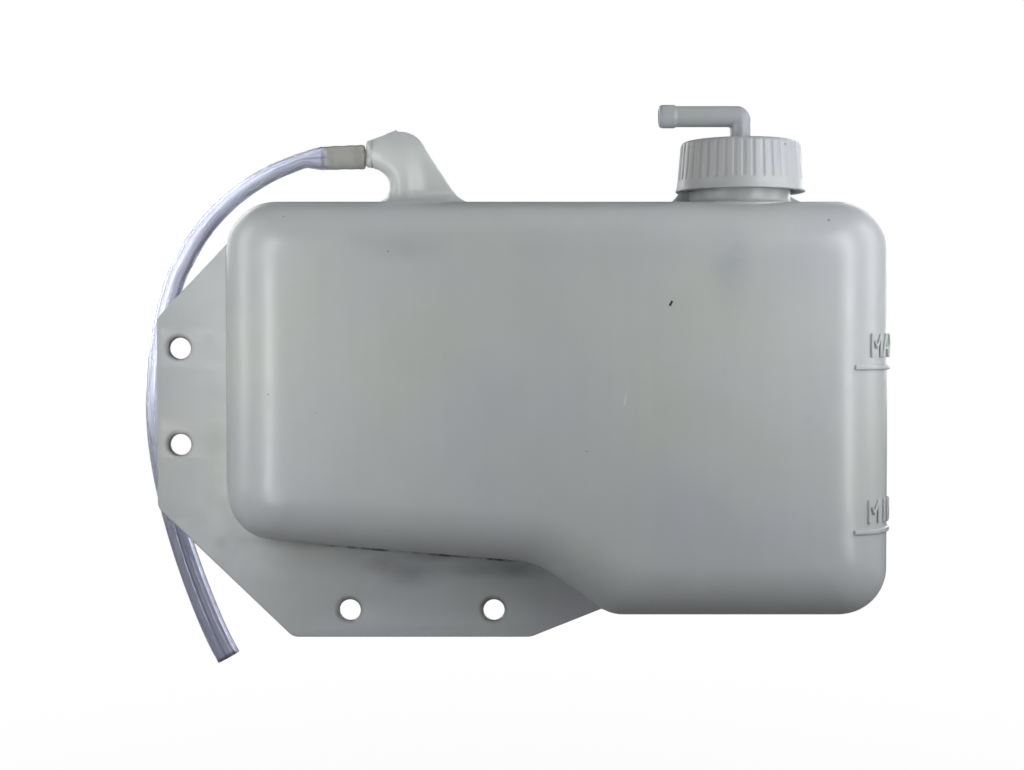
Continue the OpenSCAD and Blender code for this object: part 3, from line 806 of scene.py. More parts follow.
def right_edge(z):
    """The wall's line at one height, from the front face round to the side, as X and Y."""
    rings = body_rings(FRONT_DEPTH, FRONT_EDGE_R, 18)
    line = [(MARK_START_X - MARK_LEAD, -FRONT_DEPTH + FRONT_CROWN)]
    for u, outline in rings[::-1]:
        if u < EDGE_LEAST_DEPTH:
            break
        side = outline.real > EDGE_PART_X
        order = np.argsort(outline.imag[side])
        x = np.interp(z, outline.imag[side][order], outline.real[side][order])
        line.append((x, -u + FRONT_CROWN * (u / FRONT_DEPTH) ** CROWN_POWER))
    return np.array(line)


def bend_to_wall(points, z_middle):
    """Points given as (run along the wall, stand-out, height) are moved onto the wall."""
    line = right_edge(z_middle)
    runs = run_along(line)
    fine = np.linspace(0, runs[-1], 400)
    x, y = np.interp(fine, runs, line[:, 0]), np.interp(fine, runs, line[:, 1])
    soft = np.ones(15) / 15
    way_x = np.convolve(np.gradient(x, fine), soft, "same")
    way_y = np.convolve(np.gradient(y, fine), soft, "same")
    size = np.hypot(way_x, way_y)
    run, out, z = np.asarray(points).T
    at = run + (MARK_START_X - line[0, 0])
    nx, ny = np.interp(at, fine, way_y / size), np.interp(at, fine, -way_x / size)
    px = np.interp(at, fine, x) - nx * out
    py = np.interp(at, fine, y) - ny * out
    return np.stack([px, py, z + z_middle], -1)


# %% [markdown]
# A mark is a small bar with rounded edges, 2 mm high and 1 mm proud. It is sunk a little into the
# wall, so that the join leaves no gap.

# %% Level marks
MARK_H, MARK_PROUD, MARK_BACK = 2.0, 1.0, 17.0
MARK_EDGE_R = 0.45
MARK_CELL = 0.3


def wall_run(z, back):
    """Length along the wall from the mark's start to the place on the side that is back mm deep."""
    line = right_edge(z)
    runs = run_along(line)
    return np.interp(-back, line[:, 1], runs) - (MARK_START_X - line[0, 0])


def bar_field(length):
    half = np.array((length / 2, MARK_PROUD, MARK_H / 2)) - MARK_EDGE_R

    def field(run, out, z):
        q = [np.abs(run - length / 2) - half[0], np.abs(out) - half[1], np.abs(z) - half[2]]
        outside = np.sqrt(sum(np.maximum(part, 0) ** 2 for part in q))
        return outside + np.minimum(np.maximum(np.maximum(q[0], q[1]), q[2]), 0) - MARK_EDGE_R

    return field


def level_mark(name, z):
    length = wall_run(z, MARK_BACK)
    points, faces = skin(bar_field(length), (-1, -2, -2), (length + 1, 2, 2), MARK_CELL)
    return place_skin(name, bend_to_wall(points, z), faces)


marks = [level_mark(f"level_mark_{i}", z) for i, z in enumerate(MARK_HEIGHTS)]

# %% [markdown]
# The words are plain MAX and MIN in single strokes. The mould was cut with a round tool, so each
# stroke is a low rounded ridge, a fifth of a millimetre proud, and strokes flow into each other.

# %% Words
LETTER_W, LETTER_H, LETTER_GAP = 5.4, 8.4, 1.9
STROKE_R = 0.62
STROKE_SINK = 0.12
WORD_SUNK = 0.3
WORD_CELL = 0.24
LETTERS = {
    "M": [[(0, 0), (0, 1), (0.5, 0.42), (1, 1), (1, 0)]],
    "A": [[(0, 0), (0.5, 1), (1, 0)], [(0.2, 0.34), (0.8, 0.34)]],
    "X": [[(0, 0), (1, 1)], [(0, 1), (1, 0)]],
    "I": [[(0.5, 0), (0.5, 1)]],
    "N": [[(0, 0), (0, 1), (1, 0), (1, 1)]],
}


def word_field(word):
    segments = []
    for i, letter in enumerate(word):
        for stroke in LETTERS[letter]:
            ends = [(x * LETTER_W + i * (LETTER_W + LETTER_GAP), y * LETTER_H) for x, y in stroke]
            segments += list(zip(ends[:-1], ends[1:]))

    def field(run, out, z):
        nearest = np.full(np.shape(run), 99.0)
        for (ax, az), (bx, bz) in segments:
            dx, dz = bx - ax, bz - az
            t = np.clip(((run - ax) * dx + (z - az) * dz) / (dx * dx + dz * dz), 0, 1)
            nearest = np.minimum(nearest, np.hypot(run - ax - t * dx, z - az - t * dz))
        return np.hypot(nearest, out + STROKE_SINK) - STROKE_R

    return field


def wall_word(name, word, z, run):
    width = len(word) * (LETTER_W + LETTER_GAP)
    points, faces = skin(word_field(word), (-1, -1, -1), (width + 1, 1, LETTER_H + 1), WORD_CELL)
    points += np.array((run, -WORD_SUNK, 0))
    return place_skin(name, bend_to_wall(points, z), faces)


words = [
    wall_word("word_upper", "MAX", MARK_HEIGHTS[0] + 4.4, 8.0),
    wall_word("word_lower", "MIN", MARK_HEIGHTS[1] + 3.6, 7.0),
]

# %% [markdown]
# Everything is joined into one skin, because the tank is one moulding. The cavity, the neck's bore
# and the spout's bore are cut out last, so the wall is open wherever coolant passes.

# %% One tank
SPIGOT_R, SPIGOT_BORE_R, SPOUT_BORE_R = 3.4, 2.2, 3.0
WALL_SINK = 4.0
BAR_SIDES = 32


def swept(name, line, radius):
    """Round bar along a line, with flat ends."""
    line = np.array(line, float) * MM
    _, up, side = tube_frames(line)
    turn = full_turn(BAR_SIDES)[None, :, None]
    radius = np.broadcast_to(radius, len(line))[:, None, None] * MM
    rings = line[:, None, :] + radius * (np.cos(turn) * up[:, None] + np.sin(turn) * side[:, None])
    ends = [np.arange(BAR_SIDES)[None, ::-1], (len(line) - 1) * BAR_SIDES + np.arange(BAR_SIDES)[None]]
    return mesh_piece(name, rings.reshape(-1, 3), [wall_faces(len(line), BAR_SIDES)] + ends)


def level_line(z, *places_x):
    return [(x, PART_Y, z) for x in places_x]


def bend_line(end_x, low_z):
    turn = np.linspace(np.pi / 2, 0, 14)
    bend = [
        (BEND_X + SPOUT_BEND_R * math.cos(a), PART_Y, BEND_Z + SPOUT_BEND_R * math.sin(a)) for a in turn
    ]
    return [(end_x, PART_Y, SPOUT_Z)] + bend + [(STEM_X, PART_Y, low_z)]


SPIGOT_END = SHOULDER_X - SPIGOT_L
spigot_line = level_line(SPIGOT_Z, SHOULDER_X + 2, SPIGOT_END + 0.6, SPIGOT_END)
spigot = swept("spigot", spigot_line, (SPIGOT_R, SPIGOT_R, SPIGOT_R - 0.5))
for piece in [spout, spigot, neck_foot, neck_top, neck_thread] + marks + words:
    combine(tank, piece, "UNION")
bore_low_z = BODY_TOP - WALL_T - WALL_SINK
bore_top_z = 101
bore_profile = [(0, bore_low_z), (NECK_BORE_R, bore_low_z), (NECK_BORE_R, bore_top_z), (0, bore_top_z)]
neck_bore = turned("neck_bore", bore_profile)
spout_bore = swept("spout_bore", bend_line(SHOULDER_X + WALL_T, bore_low_z), SPOUT_BORE_R)
bore_line = level_line(SPIGOT_Z + 0.3, SHOULDER_X + 4.3, SPIGOT_END - 1)
spigot_bore = swept("spigot_bore", bore_line, SPIGOT_BORE_R)
for piece in (cavity, neck_bore, spout_bore, spigot_bore):
    combine(tank, piece, "DIFFERENCE")
finish_mesh(tank.data, TANK_CRISP)
print("tank faces", len(tank.data.polygons))

# %% [markdown]
# The cap is turned, apart from its 42 grip ribs, which swell and fade around each ring. Its lip
# flares at the foot. The middle is open for the elbow, and the inside carries the thread.

# %% Cap
CAP_TOP_Z = 105.2
CAP_FOOT_R, CAP_TOP_R, CAP_LIP_R = 25.9, 24.7, 26.7
CAP_INNER_R = NECK_R + THREAD_H + 0.5
CAP_HOLE_R = 4.4
CAP_RIBS = 42
CAP_RIB_DEPTH = 0.42
CAP_RIBS_Z = CAP_FOOT_Z + 4.2
CAP_EDGE_R = 2.2
CAP_TOP_T = 2.2
PER_RIB = 14
seeded = np.random.default_rng(7)
rib_depths = CAP_RIB_DEPTH * seeded.uniform(0.75, 1.0, CAP_RIBS)
rib_widths = seeded.uniform(-0.25, 0.25, CAP_RIBS)


def rib_grooves():
    turn = np.linspace(0, 1, CAP_RIBS * PER_RIB, endpoint=False) * CAP_RIBS
    which = turn.astype(int)
    wave = np.cos(2 * np.pi * (turn - which))
    groove = np.clip((wave - 0.1 + rib_widths[which]) / 0.7, 0, 1)
    return eased(groove) * rib_depths[which]


def cap_rings():
    """Radius, height and how deep the grooves are there, up the outside and down the inside."""
    foot = [(CAP_INNER_R + 0.5, 0), (CAP_LIP_R - 0.25, 0), (CAP_LIP_R, 0.25), (CAP_LIP_R - 0.03, 0.6)]
    foot += [(CAP_FOOT_R + 0.42, 1.4), (CAP_FOOT_R + 0.18, 2.4)]
    rings = [(radius, CAP_FOOT_Z + up, 0) for radius, up in foot]
    rings += [(CAP_FOOT_R + 0.05, CAP_RIBS_Z - 0.5, 0)]
    fade_in = [(0, 0), (0.02, 0.35), (0.05, 0.8)] + [(t, 1) for t in (0.09, 0.3, 0.5, 0.7, 0.86)]
    for t, deep in fade_in:
        radius = CAP_FOOT_R + (CAP_TOP_R - CAP_FOOT_R) * t
        rings.append((radius, CAP_RIBS_Z + (CAP_TOP_Z - CAP_EDGE_R - CAP_RIBS_Z) * t, deep))
    for a in range(0, 91, 10):
        bend = math.radians(a)
        radius = CAP_TOP_R - CAP_EDGE_R * (1 - math.cos(bend))
        rings.append((radius, CAP_TOP_Z - CAP_EDGE_R * (1 - math.sin(bend)), max(0, 1 - a / 55) ** 0.7))
    rings += [(radius, CAP_TOP_Z, 0) for radius in (18, 11, CAP_HOLE_R + 0.5)]
    rings += [(CAP_HOLE_R, CAP_TOP_Z - 0.4, 0)]
    under_z = CAP_TOP_Z - CAP_TOP_T
    rings += [(radius, under_z, 0) for radius in (CAP_HOLE_R, 12, CAP_INNER_R - 0.5)]
    rings += [(CAP_INNER_R, under_z - 0.5, 0), (CAP_INNER_R, CAP_FOOT_Z + 0.5, 0)]
    return np.array(rings)


cap_profile, grooves = cap_rings(), rib_grooves()
cap_faces = wall_faces(len(cap_profile), len(grooves), closed=True)
cap = mesh_piece("screw_cap", spun(cap_profile, grooves), [cap_faces], CAP_CRISP)
root_w, crest_w = 0.55 * THREAD_PITCH - 0.1, 0.22 * THREAD_PITCH - 0.1
cap_thread_sizes = (CAP_INNER_R + 0.4, NECK_R + 0.5, root_w, crest_w, 1.25)
combine(cap, thread_ridge("cap_thread", *cap_thread_sizes, THREAD_LOW_Z, 0.5), "UNION")
finish_mesh(cap.data, CAP_CRISP)
print("cap faces", len(cap.data.polygons))

# %% [markdown]
# The elbow turns sharply: its inner corner is nearly square and its outer one has a small radius.
# The free end is a hose barb with a rounded nose. A thin disc on its stem is clamped by the cap.

# %% Elbow
ELBOW_R, ELBOW_BORE_R = 4.3, 2.8
ELBOW_Z = CAP_TOP_Z + 10.7
ELBOW_TIP_X = NECK_X - 33.9
ELBOW_BEND_R = 5.8
BARB_R, BARB_L, BARB_NOSE = 4.8, 7.4, 1.8
DISC_R, DISC_T = 19.8, 1.8
DISC_Z = MOUTH_Z + 2.0
NIPPLE_L = 17.0
ELBOW_CELL = 0.4
corner_r = ELBOW_BEND_R - ELBOW_R
CORNER_X, CORNER_Z = NECK_X - corner_r, ELBOW_Z - corner_r


def elbow_tube(x, y, z, radius, level_r):
    level = np.hypot(z - ELBOW_Z, y) - level_r
    stem = np.hypot(x - NECK_X, y) - radius
    dx, dz = x - CORNER_X, z - CORNER_Z
    bend = np.hypot(np.hypot(dx, dz) - corner_r, y) - radius
    outer = (dx > 0) & (dz > 0)
    level = np.where(dx < 0, level, np.hypot(dx, level + radius) - radius)
    stem = np.where(dz < 0, stem, np.hypot(dz, stem + radius) - radius)
    return np.where(outer, bend, smooth_min(level, stem, 0.9))


def elbow_field(x, y, z):
    along = x - ELBOW_TIP_X
    nose = np.sqrt(np.clip(1 - ((BARB_NOSE - along) / BARB_NOSE).clip(0, 1) ** 2, 0, 1))
    level_r = np.where(along < BARB_NOSE, BARB_R - 1.5 + 1.5 * nose, BARB_R)
    back = np.clip((along - BARB_L + 1.2) / 1.2, 0, 1)
    level_r = level_r + (ELBOW_R - BARB_R) * eased(back)
    solid = elbow_tube(x, y, z, ELBOW_R, level_r)
    solid = smooth_max(solid, -along, 0.5)
    solid = smooth_max(solid, DISC_Z - NIPPLE_L - z, 0.4)
    return smooth_max(solid, -elbow_tube(x, y, z, ELBOW_BORE_R, ELBOW_BORE_R), 0.3)


elbow_box = ((ELBOW_TIP_X - 1, -6, DISC_Z - NIPPLE_L - 1), (NECK_X + 6, 6, ELBOW_Z + 6))
elbow = place_skin("elbow_pipe", *skin(elbow_field, *elbow_box, ELBOW_CELL))
inner, rim, disc_top = ELBOW_R - 0.7, DISC_R - 0.3, DISC_Z + DISC_T
disc_profile = [(inner, DISC_Z), (rim, DISC_Z), (DISC_R, DISC_Z + 0.3), (DISC_R, disc_top - 0.3)]
disc = turned("elbow_disc", disc_profile + [(rim, disc_top), (inner, disc_top), (inner, DISC_Z)])
combine(elbow, disc, "UNION")
finish_mesh(elbow.data, ELBOW_CRISP)
print("elbow faces", len(elbow.data.polygons))

# %% [markdown]
# Each piece rides on the body it belongs to and stands in for the plain solid of the frame.

# %% Onto the frame
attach(tank, "tank")
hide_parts("tank")
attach(cap, "cap")
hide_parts("cap")
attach(elbow, "elbow")
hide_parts("elbow")
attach(hose, "tank")
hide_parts("overflow_hose")


# %% [markdown]
# The finishes are node materials. A few helpers keep each of them short: these start a material,
# add a node and fill its sockets. A node or socket knows its tree as id_data, so the tree is only
# handed on where nothing else names it. Colours are written as screen levels, from 0 to 255.

# %% Nodes
def from_srgb(*levels):
    linear = [((v / 255 + 0.055) / 1.055) ** 2.4 for v in levels]
    return tuple(linear) + (1.0,)


def start_material(name, roughness, colour, specular=0.5):
    material = bpy.data.materials.new(name)
    material.use_nodes = True
    tree = material.node_tree
    shader = tree.nodes["Principled BSDF"]
    start = {"Roughness": roughness, "Base Color": from_srgb(*colour), "Specular IOR Level": specular}
    fill(shader, start)
    return material, tree, shader


def put(socket, value):
    """A socket takes a plain value or another node's output. None leaves it as it is."""
    if isinstance(value, bpy.types.NodeSocket):
        socket.id_data.links.new(value, socket)
    elif value is not None:
        socket.default_value = value


def fill(node, values):
    for name, value in values.items():
        put(node.inputs[name], value)


def add(tree, kind, *values, **settings):
    """Add a node, set its options and fill its sockets in order."""
    node = tree.nodes.new("ShaderNode" + kind)
    for name, value in settings.items():
        setattr(node, name, value)
    for socket, value in zip(node.inputs, values):
        put(socket, value)
    return node


# %% [markdown]
# A mask is a value between nought and one, made by sums, soft steps and noise. All masks start from
# the object's own coordinates, so a mark stays on the plastic from every side.

# %% Masks
def sums(operation, a, b=None, c=None):
    return add(a.id_data, "Math", a, b, c, operation=operation).outputs[0]


def minus(a, b):
    return sums("SUBTRACT", a, b)


def product(made, *others):
    for other in others:
        made = sums("MULTIPLY", made, other)
    return made


def hypotenuse(a, b):
    squares = sums("ADD", sums("POWER", a, 2.0), sums("POWER", b, 2.0))
    return sums("SQRT", squares)


def soft_step(value, low, high, to_low=0.0, to_high=1.0):
    levels = (value, low, high, to_low, to_high)
    return add(value.id_data, "MapRange", *levels, interpolation_type="SMOOTHSTEP").outputs[0]


def near_to(value, middle, far, close):
    """One where the value is close to the middle, falling to nought where it is far from it."""
    return soft_step(sums("ABSOLUTE", minus(value, middle)), far, close)


def places(tree, stretch=(1, 1, 1)):
    coordinates = add(tree, "TexCoord").outputs["Object"]
    return add(tree, "VectorMath", coordinates, stretch, operation="MULTIPLY").outputs[0]


def place_axes(tree):
    return add(tree, "SeparateXYZ", places(tree)).outputs


def noise(tree, scale, detail=3.0, stretch=(1, 1, 1), rough=0.5):
    """Noise over the object. A stretch below one draws its lumps out along that axis."""
    node = add(tree, "TexNoise")
    where = places(tree, stretch)
    fill(node, {"Vector": where, "Scale": scale, "Detail": detail, "Roughness": rough})
    return node.outputs[0]


def patches(tree, scale, detail=3.0, low=0.0, high=1.0, stretch=(1, 1, 1), rough=0.5, cut=(0.3, 0.7)):
    """Noise turned into soft patches between two levels."""
    return soft_step(noise(tree, scale, detail, stretch, rough), *cut, low, high)


# %% [markdown]
# Colours are mixed, or multiplied by a tint, where a mask is on. Bump is kept for the grain that is
# too fine to model.

# %% Colour and grain
def blend_colours(share, a, b, mode="MIX"):
    """Mix two colours, each given as three screen levels or as another node's output."""
    tree = next(v.id_data for v in (share, a) if isinstance(v, bpy.types.NodeSocket))
    node = tree.nodes.new("ShaderNodeMix")
    node.data_type = "RGBA"
    node.blend_type = mode
    a, b = (from_srgb(*v) if isinstance(v, tuple) else v for v in (a, b))
    for name, value in (("Factor_Float", share), ("A_Color", a), ("B_Color", b)):
        socket = next(s for s in node.inputs if s.identifier == name)
        put(socket, value)
    return next(s for s in node.outputs if s.identifier == "Result_Color")


def tinted(colour, share, tint):
    """Multiply a colour by a tint where the mask is on."""
    return blend_colours(share, colour, tint, "MULTIPLY")


def bump(shader, height, distance, strength, before=None):
    node = shader.id_data.nodes.new("ShaderNodeBump")
    fill(node, {"Height": height, "Distance": distance, "Strength": strength, "Normal": before})
    put(shader.inputs["Normal"], node.outputs[0])
    return node.outputs[0]


def wear(piece, material):
    piece.data.materials.clear()
    piece.data.materials.append(material)


# %% [markdown]
# Marks on the plastic are placed in millimetres on the X and Z plane that the photograph shows.
# A spot fades out with its distance from a point, a stripe with its distance from a line.

# %% Marks by place
def flat_place(tree):
    x, _, z = place_axes(tree)
    return x, z


def from_point(tree, x, z):
    px, pz = flat_place(tree)
    return minus(px, x * MM), minus(pz, z * MM)


def spot(tree, x, z, wide, high, fade=1.0):
    """One inside an oval of the given half sizes, falling to nought at its edge."""
    dx, dz = from_point(tree, x, z)
    dx, dz = product(dx, 1 / (wide * MM)), product(dz, 1 / (high * MM))
    return soft_step(hypotenuse(dx, dz), 1.0, 1.0 - fade)


def scratch(tree, x, z, length, lean, half):
    """A short stroke: its middle, its length, its lean from upright in degrees and its half width."""
    dx, dz = from_point(tree, x, z)
    c, s = math.cos(math.radians(lean)), math.sin(math.radians(lean))
    across = minus(product(dx, c), product(dz, s))
    along = sums("ADD", product(dx, s), product(dz, c))
    slim = near_to(across, 0.0, half * MM, half * 0.4 * MM)
    short = near_to(along, 0.0, length / 2 * MM, length * 0.35 * MM)
    return product(slim, short)


def in_front(tree, low=-2.0, high=0.0):
    """One where Y is below low and nought above high, so that marks stay on the side they belong to."""
    return soft_step(place_axes(tree)[1], high * MM, low * MM)


# %% [markdown]
# The tank is natural polyethylene, unpigmented and a little milky. Light goes in a few millimetres,
# so it gets some subsurface. Its grey drifts slowly between a greenish and a violet tone. The mould
# leaves faint lines along the parison's draw, mostly upright, and the skin has a fine satin grain.
# The colour is also painted a little darker towards the bottom, as painted shade.

# %% Natural polyethylene
COOL_GREY, MILD_GREY, GREENISH_GREY = (169, 172, 177), (170, 174, 175), (171, 175, 171)


def tank_base(tree):
    drift = noise(tree, 14.0, 2.0)
    colour = blend_colours(soft_step(drift, 0.3, 0.5), COOL_GREY, MILD_GREY)
    colour = blend_colours(soft_step(drift, 0.5, 0.72), colour, GREENISH_GREY)
    lines = patches(tree, 160.0, 4.0, 0.988, 1.008, (1, 1, 0.06), 0.6)
    clouds = patches(tree, 38.0, 4.0, 0.982, 1.012)
    # Painted shade: the colour darkens towards the bottom.
    lower_shade = soft_step(place_axes(tree)[2], -100 * MM, 60 * MM, 0.91, 1.03)
    shade = product(lines, clouds, lower_shade)
    grey = add(tree, "CombineXYZ", shade, shade, shade).outputs[0]
    return tinted(colour, 1.0, grey)


# %% [markdown]
# Colour is darkened where surfaces meet: a broken near-black line under the step, a greenish line along
# the left wall that is partly painted shade, and a painted shade round each bolt hole.

# %% Dark lines and painted shade in the corners
def hole_rim_shade(tree, colour):
    """Painted shade: a soft dark rim round each bolt hole, wider on the upper left, where the hole's wall
    and a slight dimple are in shade.
    """
    broken = patches(tree, 240.0, 3.0, 0.55, 1.0, cut=(0.3, 0.62))
    for x, z in bolt_places:
        rim = spot(tree, x - 0.5, z + 0.35, 6.6, 6.6, 0.34)
        colour = tinted(colour, product(rim, broken), (152, 152, 146))
    return colour


def step_corner_line(tree, colour):
    """A near-black line in the corner under the step, broken into short lengths."""
    px, pz = flat_place(tree)
    line = sums("MULTIPLY_ADD", px, -floor_tan, (STEP_Z + BODY_LEFT * floor_tan - 1.9) * MM)
    slim = near_to(pz, line, 1.0 * MM, 0.35 * MM)
    reach = near_to(px, 100 * MM, 42 * MM, 38 * MM)
    lumps = patches(tree, 110.0, 3.0, 0.12, 0.85, (1, 0, 0.2), cut=(0.4, 0.62))
    return tinted(colour, product(slim, reach, lumps, in_front(tree)), (70, 70, 72))


def corner_tone_and_shade(tree, colour):
    """The greenish darker line where the flange meets the body's left wall: partly painted shade of the
    corner and partly a greenish tone.
    """
    px, pz = flat_place(tree)
    slim = near_to(px, (BODY_LEFT - 2.2) * MM, 0.9 * MM, 0.2 * MM)
    reach = near_to(pz, 12 * MM, 58 * MM, 44 * MM)
    return tinted(colour, product(slim, reach, in_front(tree)), (180, 188, 164))


# %% [markdown]
# Soft patches of colour, small dark specks and two scratches are listed by place. Among the patches are
# painted shadow on the flange under the step, a painted reflection on the lower left rounding and painted
# shade where the dip tube shows through the wall. A smear of noise breaks up the patches, so that they
# don't look stamped.

# %% Smudges, painted shadow and reflection, specks and scratches
# Middle in X and Z, half width, half height and tint
SMUDGES_AND_PAINTED_LIGHT = [
    # Painted reflection: a pinkish band along the lower left rounding over the step.
    (54, -60.5, 30, 4.4, (212, 202, 198)),
    # Painted shadow: the next four darken the flange under the step, where the body shades it.
    (96, -74, 17, 9, (216, 218, 219)),
    (104, -66, 22, 4, (210, 209, 207)),
    (134, -72, 34, 6, (204, 206, 206)),
    (84, -70, 12, 6, (216, 214, 206)),
    # Painted shade: a bluish darker band under the cap, where the dip tube shows through the wall.
    (223, 52, 12, 26, (234, 235, 243)),
    (15, -25, 9, 40, (240, 243, 232)),
    (92, 60, 30, 9, (240, 240, 240)),
]
# Middle in X and Z, and radius
SPOTS = [(89.5, 58, 0.55), (48, 72, 0.5), (42.5, 2.2, 0.6)]
SPOTS += [(262, 70.5, 0.8), (61, -5, 0.4), (167, -20, 0.5)]
# Middle in X and Z, length, lean, half width and colour
SCRATCHES = [(199.8, 37.8, 2.6, 28, 0.62, (22, 24, 24)), (182, 0, 5, 10, 0.4, (188, 191, 193))]


def marks_and_painted_light(tree, colour):
    smear = patches(tree, 60.0, 4.0, 0.35, 1.0, (1, 1, 2.2), 0.6, (0.25, 0.7))
    front = in_front(tree)
    smear = product(smear, front)
    for x, z, wide, high, tint in SMUDGES_AND_PAINTED_LIGHT:
        colour = tinted(colour, product(spot(tree, x, z, wide, high), smear), tint)
    for x, z, size in SPOTS:
        colour = tinted(colour, product(spot(tree, x, z, size, size), front), (150, 152, 154))
    for *stroke, tint in SCRATCHES:
        colour = blend_colours(product(scratch(tree, *stroke), front), colour, tint)
    return colour


# %% [markdown]
# Two regions carry painted light. The parts that stand on the top are thin and are painted lighter, for
# the light that shines through them, and the right wall carries a painted reflection of what it faces.

# %% Thin parts and the right wall
def thin_parts(tree, colour):
    """The spout's wall and web are thin, so the white room behind shines through and lifts them."""
    px, pz = flat_place(tree)
    above = soft_step(pz, (BODY_TOP - 1) * MM, (BODY_TOP + 5.5) * MM)
    fading = soft_step(pz, 110 * MM, 99 * MM, 0.35, 1.0)
    by_spout = soft_step(px, 135 * MM, 128 * MM)
    return blend_colours(product(above, fading, by_spout), colour, (206, 210, 209))


def side_reflection(tree, colour):
    """The right wall carries a painted reflection: greenish above the upper mark and pinkish below it."""
    px, pz = flat_place(tree)
    side = soft_step(px, 286.2 * MM, 287.4 * MM)
    above = soft_step(pz, (MARK_HEIGHTS[0] - 2) * MM, (MARK_HEIGHTS[0] + 1) * MM)
    tint = blend_colours(above, (242, 238, 236), (238, 243, 238))
    return tinted(colour, side, tint)


# %% [markdown]
# All of it goes on one shader. A slow wave and a fine grain in the bump make the satin skin.

# %% Finish of the tank
def polyethylene():
    material, tree, shader = start_material("natural_polyethylene", 0.34, (176, 180, 180))
    colour = hole_rim_shade(tree, tank_base(tree))
    colour = corner_tone_and_shade(tree, step_corner_line(tree, colour))
    look = {
        "Base Color": thin_parts(tree, side_reflection(tree, marks_and_painted_light(tree, colour))),
        "Roughness": patches(tree, 180.0, 5.0, 0.3, 0.39),
        "Subsurface Weight": 0.15,
        "Subsurface Radius": (1.0, 1.0, 0.9),
        "Subsurface Scale": 0.003,
    }
    fill(shader, look)
    waves = noise(tree, 24.0, 2.0, (1, 1, 0.35))
    soft = bump(shader, waves, 0.0006, 0.5)
    bump(shader, noise(tree, 1500.0, 2.0), 0.00003, 0.35, soft)
    return material


wear(tank, polyethylene())

# %% [markdown]
# The cap is a bluer and whiter plastic than the tank. Its grooves are painted a little darker than the
# rib crests, as painted shade, so its colour follows the distance from its axis. Its left side is painted
# darker too, as painted shade.

# %% Cap plastic
def cap_plastic():
    material, tree, shader = start_material("cap_polypropylene", 0.4, (184, 188, 192))
    x, y, z = place_axes(tree)
    radius = hypotenuse(minus(x, NECK_X * MM), minus(y, PART_Y * MM))
    taper = (CAP_FOOT_R - CAP_TOP_R) / (CAP_TOP_Z - CAP_EDGE_R - CAP_RIBS_Z)
    crest = sums("MULTIPLY_ADD", z, -taper, (CAP_FOOT_R + taper * CAP_RIBS_Z) * MM)
    groove = soft_step(minus(crest, radius), 0.05 * MM, 0.55 * MM)
    colour = blend_colours(patches(tree, 45.0), (177, 180, 187), (181, 185, 184))
    # Painted shade: the grooves are darker than the crests.
    colour = tinted(colour, product(groove, 0.4), (232, 233, 233))
    # Painted shade: the left side of the cap is darker.
    left_side_shade = soft_step(x, (NECK_X + 12) * MM, (NECK_X - 14) * MM)
    colour = tinted(colour, left_side_shade, (232, 231, 229))
    speck = product(spot(tree, 247.9, 102.4, 0.75, 0.6), in_front(tree, -6, 0))
    look = {
        "Base Color": tinted(colour, speck, (140, 144, 150)),
        "Roughness": patches(tree, 260.0, 4.0, 0.36, 0.48, (1, 1, 0.3)),
        "Subsurface Weight": 0.12,
        "Subsurface Radius": (1.0, 1.0, 1.0),
        "Subsurface Scale": 0.002,
    }
    fill(shader, look)
    bump(shader, noise(tree, 900.0), 0.00005, 0.4)
    return material


wear(cap, cap_plastic())

# %% [markdown]
# The elbow is a harder, violet-grey plastic. The seal is dark rubber under the disc, and the dip
# tube is the same natural plastic as the tank, stained a little by coolant.

# %% Elbow, seal and dip tube
def plain_plastic(name, colour, other, roughness, grain):
    material, tree, shader = start_material(name, roughness, colour)
    look = {
        "Base Color": blend_colours(patches(tree, 70.0), colour, other),
        "Roughness": patches(tree, 320.0, 4.0, roughness - 0.04, roughness + 0.05),
    }
    fill(shader, look)
    bump(shader, noise(tree, 1100.0), grain, 0.4)
    return material


def dress_node(name, material):
    """A carried-over solid keeps its mesh and only gets a finish."""
    for holder in bpy.data.objects:
        if holder.type == "MESH" and holder.name.split(".")[0] == name:
            if not holder.material_slots:
                holder.data.materials.append(material)
            for slot in holder.material_slots:
                slot.material = material


wear(elbow, plain_plastic("elbow_nylon", (166, 167, 176), (164, 170, 170), 0.36, 0.00004))
dress_node("seal", plain_plastic("seal_rubber", (58, 58, 60), (70, 70, 70), 0.7, 0.00008))
dress_node("dip_tube", plain_plastic("dip_polyethylene", (206, 208, 198), (196, 200, 186), 0.35, 0.00004))

# %% [markdown]
# The hose is clear vinyl, gone a cool violet grey with age. Its wall passes most of the light and bends
# it at both surfaces. Painted shade runs along it: a darker line down its middle, greyer edges where the
# eye looks along the wall, and a darker lower length. The end on the spigot is tight and beige, and the
# last millimetres at the free end are darker.

# %% Hose vinyl
# Place across the hose from -1 to 1, half width and tint
# Painted shade: a darker line down the middle and darker edges, where the eye looks along the wall.
HOSE_SHADE_LINES = [(0.05, 0.17, (202, 205, 215)), (-1.0, 0.34, (196, 199, 212)), (1.0, 0.3, (212, 215, 226))]
CLEAR_SHARE = 0.78


def kept_value(tree, name):
    return add(tree, "Attribute", attribute_name=name).outputs["Fac"]


